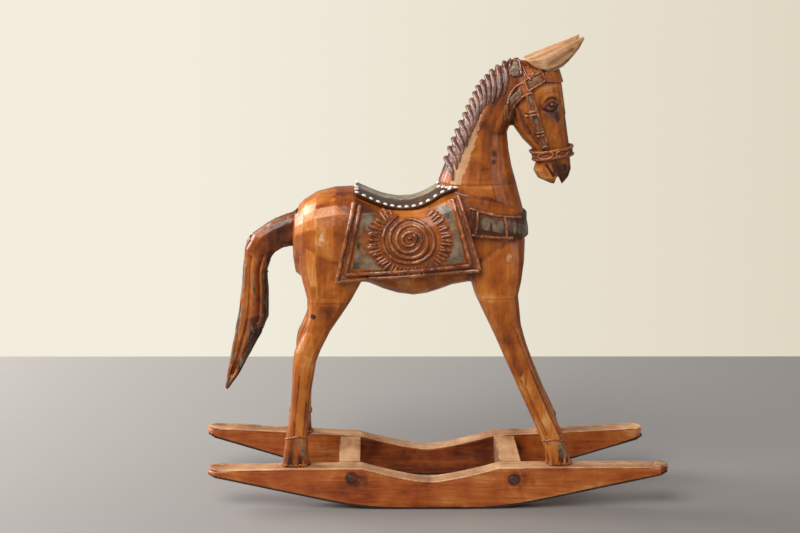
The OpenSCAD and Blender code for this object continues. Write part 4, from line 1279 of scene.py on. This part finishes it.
def make_flap(side, carcass_tree):
    name = SIDES[side]
    obj = carving_blank(f"painted_flap_{name}", [f"saddle_flap_{name}"], 0.45 * MM, 3)
    clear_of(obj, carcass_tree, side, 0.9 * MM)
    tree = surface_of(obj)
    centre = middle(f"spiral_{name}")
    spiral = spiral_paths(tree, centre, side)
    borders = border_paths(tree, side)
    for title, node, paths, radius, seed, look in (
            ("spiral_rope", "spiral", spiral, 1.2, 92,
             dict(lumps=0.16, step=0.6 * MM, taper=([0, 0.1, 0.9, 1], [0.7, 1, 1, 0.7]))),
            ("sun_ray_ropes", "sun_rays", ray_paths(tree, centre, side), 1.15, 94,
             dict(lumps=0.2, sides=8, taper=([0, 0.3, 0.8, 1], [0.6, 0.85, 1.1, 0.8]))),
            ("border_ropes", "flap_border", borders, 1.3, 96,
             dict(lumps=0.16, step=0.7 * MM, taper=([0, 0.01, 0.99, 1], [1.25, 1, 1, 1.1])))):
        rope = rope_object(f"{title}_{name}", paths, radius * MM, seed=seed, **look)
        finish_piece(rope, paste, "relief_putty", f"{node}_{name}")

    co = coordinates(obj)
    x, z = (co[:, 0] - centre[0]) / MM, (co[:, 2] - centre[2]) / (SPIRAL_SQUASH * MM)
    r, turn = np.hypot(x, z), np.arctan2(z, x)
    scallop = 27.8 + 0.8 * np.sin(RAYS * 1.24 * turn) + 0.5 * noise(co, 6 * MM, 97)
    top = np.where(x < 0, 197.5 * MM, 203.5 * MM)
    edge = segment_distance(co, borders[1]) / MM
    field = smoothstep(scallop - 0.3, scallop + 0.3, r)
    field *= smoothstep(top + 1.2 * MM, top - 1.2 * MM, co[:, 2] + 1.5 * MM * noise(co, 8 * MM, 98))
    field *= smoothstep(8 * MM, 14 * MM, np.abs(co[:, 0] - centre[0] - 1 * MM))
    field *= smoothstep(1.6, 3.6, edge + 1.4 * noise(co * [1, 1, 0.35], 5 * MM, 101, 2))
    paint(obj, "olive", field * (0.84 + 0.5 * noise(co * [1.4, 1, 0.3], 9 * MM, 102, 3)))
    gloom = smoothstep(-30 * MM, -44 * MM, co[:, 0]) * smoothstep(180 * MM, 188 * MM, co[:, 2])
    paint(obj, "dirt_and_shade", most(
        0.9 * bell(segment_distance(co, spiral[0]), 1.5 * MM),
        *(0.9 * bell(segment_distance(co, run), 1.6 * MM) for run in borders),
        0.3 * bell(r - 23.5, 3.5) * (np.abs(turn - 1.57) > 0.5), 0.4 * gloom))
    roughen(obj, 5 * MM, 0.12 * MM, 99)
    roughen(obj, 1.2 * MM, 0.05 * MM, 100, 2)
    finish_piece(obj, flap_wood, "flap_wood", f"saddle_flap_{name}")


def strap_z(x, share):
    """Height on the breast strap, which slopes down to the chest, at a share of its width."""
    t = (x - 22 * MM) / (38 * MM)
    bottom, top = (183.3 * (1 - t) + 179 * t) * MM, (202 * (1 - t) + 191.5 * t) * MM
    return bottom + (top - bottom) * share


def on_strap(tree, angle, share, lift):
    x = STRAP_HUB_X + 34 * MM * math.cos(angle)
    at = np.array([STRAP_HUB_X, 0, strap_z(x, share)])
    return ring_on(tree, at, [spoke(angle)], lift)[0]


def make_breast_strap():
    obj = carving_blank("painted_breast_strap", ["breast_strap"], 0.4 * MM, 3)
    tree = surface_of(obj)
    ropes = [[on_strap(tree, angle, share, 0.35 * MM)
              for angle in np.linspace(-STRAP_HALF_TURN, STRAP_HALF_TURN, 61)]
             for share in (0.05, 0.95)]
    for side in SIDES:
        for degrees, lean in STRAP_BARS:
            ropes.append([on_strap(tree, side * math.radians(degrees - lean * (share - 0.5)),
                                   share, 0.2 * MM) for share in (0.08, 0.3, 0.5, 0.7, 0.92)])
    trim = rope_object("strap_ropes", ropes, 0.95 * MM, seed=111, lumps=0.2, up=Z_AXIS,
                       step=0.6 * MM)
    finish_piece(trim, paste, "relief_putty", "strap_trim")
    co = coordinates(obj)
    marks = most(*(bell(segment_distance(co, run), 1.6 * MM) for run in ropes))
    bottom, top = strap_z(co[:, 0], 0), strap_z(co[:, 0], 1)
    share = (co[:, 2] - bottom) / (top - bottom)
    torn = 0.12 * noise(co * [0.4, 0.4, 1], 5 * MM, 113, 2)
    panel = smoothstep(0.14, 0.3, share + torn) * smoothstep(0.86, 0.7, share + torn)
    turn = np.degrees(np.abs(np.arctan2(co[:, 1], co[:, 0] - STRAP_HUB_X)))
    panel *= smoothstep(76, 68, turn + 60 * torn)
    # dark along the ropes, and painted shade over the whole strap, uneven with noise
    paint(obj, "dirt_and_shade", most(0.9 * marks, 0.4 + 0.5 * noise(co, 7 * MM, 114, 2)))
    paint(obj, "olive", 0.6 * panel * (1 - marks))
    roughen(obj, 4 * MM, 0.12 * MM, 112, 2)
    finish_piece(obj, strap_wood, "flap_wood", "breast_strap")


# ---------------------------------------------------------------- mane and bridle

LOCK_COUNT = 15
LOCK_TOP_Z = 291
LOCK_LOW_Z = 228.5
LOCK_DROP = (10.5, 18)
LOCK_LEAN = (3.6, -1.2)
# Shares of a lock's length, and its thickness there
LOCK_SHAPE = ([0, 0.06, 0.2, 0.75, 1], [0.7, 1.1, 1.0, 0.95, 0.4])


def make_mane(side, tree):
    """Plump locks that hang from the crest of the neck, side by side."""
    name = f"mane_{SIDES[side]}"
    paths = []
    local = np.random.default_rng(120)

    def crest(z):
        start = Vector((-0.05, side * 1.5 * MM, z * MM))
        return tree.ray_cast(start, Vector(X_AXIS))[0].x / MM

    for t in np.arange(LOCK_COUNT) / (LOCK_COUNT - 1):
        z = LOCK_LOW_Z + (LOCK_TOP_Z - LOCK_LOW_Z) * t * (1.45 - 0.45 * t)
        drop = LOCK_DROP[0] + (LOCK_DROP[1] - LOCK_DROP[0]) * t ** 1.2 + local.uniform(-0.8, 0.8)
        lean = LOCK_LEAN[0] + (LOCK_LEAN[1] - LOCK_LEAN[0]) * t + local.uniform(-0.3, 0.3)
        x = crest(z)
        hanging = []
        for f in np.linspace(0, 1, 8):
            low = z - drop * f
            bulge = x + 0.5 + lean * f + 1.2 * math.sin(math.pi * f)
            hanging.append((max(bulge, crest(low) + 0.5), low))
        paths.append([mm(x - 0.4, side * 0.8, z + 1.5)] + on_side(tree, hanging, side, 0.5 * MM))
    obj = rope_object(f"{name}_locks", paths, 1.6 * MM, seed=121, lumps=0.1, taper=LOCK_SHAPE,
                      step=0.6 * MM, flat=0.75)
    finish_piece(obj, lock_paste, "relief_putty", name)


def outline_rope(tree, outline, side, lift):
    """A closed outline given as X and Z in millimetres, dropped on one side of the head.

    Straight runs are cut into short steps, so that only the corners are rounded."""
    points = on_side(tree, outline + outline[:1], side, lift)
    return [a * (1 - t) + b * t for a, b in zip(points[:-1], points[1:])
            for t in (0.0, 0.12, 0.5, 0.88)] + [points[-1]]


def strap_piece(node, paths, dirt_width=1.3, olive_level=0.75):
    """A painted strap: a fine copy of its CAD node, worn paint inside, dark along its ropes."""
    obj = carving_blank(f"painted_{node}", [node], 0.35 * MM, 3)
    co = coordinates(obj)
    marks = most(np.zeros(len(co)),
                 *(bell(segment_distance(co, run), dirt_width * MM) for run in paths))
    paint(obj, "dirt_and_shade", 0.8 * marks)
    worn = 0.86 + 0.5 * noise(co, 5 * MM, 143, 2)
    paint(obj, "olive", olive_level * worn * (1 - marks))
    roughen(obj, 2.5 * MM, 0.1 * MM, 131, 2)
    finish_piece(obj, strap_wood, "bridle_paint", node)


# Outlines of the bridle's straps, as X and Z in millimetres
BROWBAND = [(56.6, 281.9), (67.6, 287.5), (70.2, 282.1), (59.0, 275.2)]
THROAT = [(56.2, 280.4), (51.4, 277.8), (47.8, 272.8), (46.0, 266.6), (46.4, 257.6), (48.4, 262.2),
          (51.2, 266.6), (55.2, 271.2), (58.6, 274.6)]
CROWN_LOOPS = [[(53.6, 298.5), (55.4, 291.1), (57.7, 285.6), (60.3, 282.6)],
               [(57.0, 299.2), (58.7, 294.1), (60.4, 289.6), (62.6, 286.6), (66.3, 287.6)]]
CROWN_TOP = 296.5
CHEEK = [(58.0, 272.8), (60.8, 274.4), (66.2, 258.2), (72.8, 239.6), (69.0, 238.0), (61.6, 257.6)]


# Ends and tops of the two ropes over the crown
CROWN_ROPES = [((48.3, 285.4), (46.6, 294.5)), ((54.6, 286), (53, 296))]
# The noseband slopes down to the front, and so do its two ovals on each side
NOSE_SLOPE = 0.169
NOSE_HUB_X = 76.5
NOSE_OVALS = [(67, 76.5), (78.5, 86.5)]
BRIDLE_LIFT = 0.1 * MM


def noseband_paths(tree):
    """Two rings round the noseband, and the ovals between them."""
    paths = []
    for base_z in (233.2, 228.2):
        ring = []
        for angle in np.linspace(0, 2 * math.pi, 49):
            at = mm(NOSE_HUB_X, 0, base_z + NOSE_SLOPE * (16.5 + 12 * math.cos(angle)))
            ring += ring_on(tree, at, [spoke(angle)], BRIDLE_LIFT, 21 * MM)
        paths.append(ring)
    for side in SIDES:
        for x0, x1 in NOSE_OVALS:
            oval = []
            for angle in np.linspace(0, 2 * math.pi, 13)[:-1]:
                x = 0.5 * (x0 + x1) + 0.5 * (x1 - x0) * math.cos(angle)
                oval.append((x, 230.7 + NOSE_SLOPE * (x - 60) + 2.3 * math.sin(angle)))
            paths.append(on_side(tree, oval + oval[:1], side, BRIDLE_LIFT))
    return paths


def crown_paths(tree):
    """Ropes from side to side over the top of the head."""
    paths = []
    for foot, (x, z) in CROWN_ROPES:
        start, end = (on_side(tree, [foot], side)[0] for side in (RIGHT, LEFT))
        top = mm(x, 0, z + 4)
        arc = [start, 0.5 * (start + top) + mm(0, -2, 2), top, 0.5 * (end + top) + mm(0, 2, 2), end]
        paths.append(cling(tree, smooth_path(arc, 1.0 * MM), BRIDLE_LIFT))
    return paths


def make_bridle(head):
    sided = [f"{strap}_{side}" for strap in ("browband", "throat_latch", "cheek_strap")
             for side in SIDES.values()]
    tree = surface_of(head, *(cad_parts[name]
                              for name in sided + ["noseband", "crownpiece", "forelock"]))
    trims = []
    for side, name in SIDES.items():
        brow = outline_rope(tree, BROWBAND, side, BRIDLE_LIFT)
        throat = on_side(tree, THROAT + THROAT[:1], side, BRIDLE_LIFT)
        cheek = outline_rope(tree, CHEEK, side, BRIDLE_LIFT)
        trims += [on_side(tree, [(x, min(z, CROWN_TOP)) for x, z in loop], side, 0.3 * MM)
                  for loop in CROWN_LOOPS]
        strap_piece(f"browband_{name}", [brow])
        strap_piece(f"throat_latch_{name}", [throat])
        strap_piece(f"cheek_strap_{name}", [cheek], 0.9, 0.7)
        trims += [brow, throat, cheek]
    nose, crown = noseband_paths(tree), crown_paths(tree)
    strap_piece("noseband", nose, 1.0, 0.55)
    strap_piece("crownpiece", crown, 1.4, 0.85)
    strap_piece("forelock", [], olive_level=0.0)
    bridle = rope_object("bridle_ropes", trims + nose + crown, 0.8 * MM, seed=141, lumps=0.28,
                         sides=8)
    finish_piece(bridle, paste, "relief_putty")
    bars = []
    for at in (buckle.mean(0) for buckle in islands("bridle_buckles")):
        for dz in (-1.1, 1.1):
            bar = [(at[0] / MM + x, at[2] / MM + dz + 0.22 * x) for x in (-2.9, -1, 1, 2.9)]
            bars.append(on_side(tree, bar, RIGHT if at[1] < 0 else LEFT, 0.4 * MM))
    buckles = rope_object("buckle_ropes", bars, 0.85 * MM, seed=143, lumps=0.3, sides=8)
    finish_piece(buckles, paste, "relief_putty", "bridle_buckles")


# ---------------------------------------------------------------- build the pieces

body, head, *legs = carve_carcass()
finish_body(body)
finish_head(head)
carve_eyes()
for k, (which, side) in enumerate(LEGS):
    finish_leg(legs[k], which, side, 200 + 20 * k)
make_nails({side: surface_of(legs[LEGS.index(("hind", side))]) for side in SIDES})
carve_tail()
for side in SIDES:
    carve_rocker(side)
    carve_ear(side)
make_pegs()
carve_crossbar("crossbar_rear")
carve_crossbar("crossbar_front")
seat = make_seat()
carcass_tree = surface_of(body, *legs)
for side in SIDES:
    make_dots(side, seat)
    make_flap(side, carcass_tree)
    make_mane(side, surface_of(head))
make_breast_strap()
make_bridle(head)

# CAD nodes that show as they are
KEPT_NODES = {
    "runner_strip_right": rubber, "runner_strip_left": rubber, "hoof_dowels": peg_end,
    "leg_dowels": peg_end, "neck_dowels": peg_end, "tail_dowel": peg_end,
}
for name, material in KEPT_NODES.items():
    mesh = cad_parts[name].data
    mesh.materials.clear()
    mesh.materials.append(material)


# ---------------------------------------------------------------- stage, light and camera

TABLE_EDGE_Y = 0.335
CREAM = (0.890, 0.845, 0.725)
# The wall's cream darkened with painted shade, as it shows at the wall's right end
CREAM_RIGHT = (0.740, 0.665, 0.535)
# The X of a view direction over which the wall turns from cream to the painted shade at its right
# end
CREAM_SPAN = (-0.12, 0.30)
GLOW = (0.95, 0.93, 0.90)
GLOW_STRENGTH = 0.26
# The camera that was fitted to the photograph, in metres, degrees and millimetres
CAMERA_PLACE = (-0.0436, -1.0399, 0.3921)
CAMERA_TURN, CAMERA_PITCH, CAMERA_ROLL = -1.16, 12.77, 0.3
CAMERA_LENS, CAMERA_SENSOR = 71.96, 36.0


def make_table():
    """A pale table top whose far edge lies a little behind the horse, with painted light that makes
    it lighter to the back and the left.
    """
    half, thick, bead = 2.2, 0.05, 0.008
    profile = [(-half, 0.0)]
    for k in range(7):
        a = math.radians(90 - 15 * k)
        profile.append((TABLE_EDGE_Y - bead + bead * math.cos(a), bead * (math.sin(a) - 1)))
    profile.append((TABLE_EDGE_Y, -thick))
    verts = [(x, y, z) for x in (-half, half) for y, z in profile]
    n = len(profile)
    faces = [[i, i + n, i + n + 1, i + 1] for i in range(n - 1)]
    table = new_object("table", verts, faces)
    set_smooth(table)
    s = Shader("table_top")
    grain = s.noise(60.0, 6.0, 0.6)
    cloud = s.noise(4.0, 2.0)
    # painted light: the top is lighter towards the back and the left, darker to the front and right
    back = s.ramp(s.node("SeparateXYZ", out=1, Vector=s.place), -0.35, 0.33)
    left = s.ramp(s.node("SeparateXYZ", out=0, Vector=s.place), 0.5, -0.6)
    tone = s.total(0.0, (grain, 0.042), (cloud, 0.078), (back, 0.5), (left, 0.4))
    s.set("Base Color", s.colours(tone, [(0.0, (0.160, 0.150, 0.158)), (0.5, (0.280, 0.264, 0.252)),
                                         (1.0, (0.430, 0.405, 0.370))]))
    s.set("Roughness", 0.55)
    s.set("Normal", s.bump(grain, 0.05, 0.0003))
    table.data.materials.append(s.material)


def soft_light(name, location, target, size, watts, colour):
    data = bpy.data.lights.new(name, "AREA")
    data.shape = "RECTANGLE"
    data.size, data.size_y = size
    data.energy = watts
    data.color = colour
    lamp = linked(name, data)
    lamp.location = location
    lamp.rotation_euler = (Vector(target) - Vector(location)).to_track_quat("-Z", "Y").to_euler()


def make_world():
    """An even, dim studio that shows as a cream wall, with painted shade darkening it to the right.
    """
    world = bpy.data.worlds.new("studio")
    world.use_nodes = True
    bpy.context.scene.world = world
    nodes, links = world.node_tree.nodes, world.node_tree.links
    nodes.clear()
    out = nodes.new("ShaderNodeOutputWorld")
    mix = nodes.new("ShaderNodeMixShader")
    glow = nodes.new("ShaderNodeBackground")
    glow.inputs["Color"].default_value = (*GLOW, 1)
    glow.inputs["Strength"].default_value = GLOW_STRENGTH
    wall = nodes.new("ShaderNodeBackground")
    place = nodes.new("ShaderNodeTexCoord")
    split = nodes.new("ShaderNodeSeparateXYZ")
    across = nodes.new("ShaderNodeMapRange")
    for end, value in zip(("From Min", "From Max"), CREAM_SPAN):
        across.inputs[end].default_value = value
    shade = nodes.new("ShaderNodeMix")
    shade.data_type = "RGBA"
    shade.inputs[6].default_value = (*CREAM, 1)
    shade.inputs[7].default_value = (*CREAM_RIGHT, 1)
    links.new(place.outputs["Generated"], split.inputs[0])
    links.new(split.outputs["X"], across.inputs["Value"])
    links.new(across.outputs[0], shade.inputs[0])
    links.new(shade.outputs[2], wall.inputs["Color"])
    path = nodes.new("ShaderNodeLightPath")
    links.new(path.outputs["Is Camera Ray"], mix.inputs[0])
    links.new(glow.outputs[0], mix.inputs[1])
    links.new(wall.outputs[0], mix.inputs[2])
    links.new(mix.outputs[0], out.inputs[0])


def make_camera():
    """Looks along +Y from in front of the horse's right side, slightly down."""
    turn, pitch, roll = (math.radians(a) for a in (CAMERA_TURN, CAMERA_PITCH, CAMERA_ROLL))
    forward = Vector((-math.sin(turn) * math.cos(pitch), math.cos(turn) * math.cos(pitch),
                      -math.sin(pitch)))
    right = Vector((math.cos(turn), math.sin(turn), 0))
    up = right.cross(forward)
    across = right * math.cos(roll) + up * math.sin(roll)
    up = up * math.cos(roll) - right * math.sin(roll)
    data = bpy.data.cameras.new("camera")
    data.sensor_width = CAMERA_SENSOR
    data.lens = CAMERA_LENS
    camera = linked("camera", data)
    turned = Matrix((across, up, -forward)).transposed()
    camera.matrix_world = Matrix.Translation(CAMERA_PLACE) @ turned.to_4x4()
    bpy.context.scene.camera = camera


make_table()
make_world()
make_camera()
soft_light("window", (-1.3, 0.45, 0.75), (0, 0, 0.15), (0.9, 0.9), 30, (0.97, 0.97, 1.0))
soft_light("sky", (-0.7, -0.9, 1.3), (0, 0, 0.12), (1.2, 1.0), 28, (1.0, 0.97, 0.93))
soft_light("fill", (1.2, -1.1, 0.6), (0, 0, 0.15), (0.9, 0.9), 4, (1.0, 0.95, 0.90))
bpy.context.scene.view_settings.view_transform = "Standard"
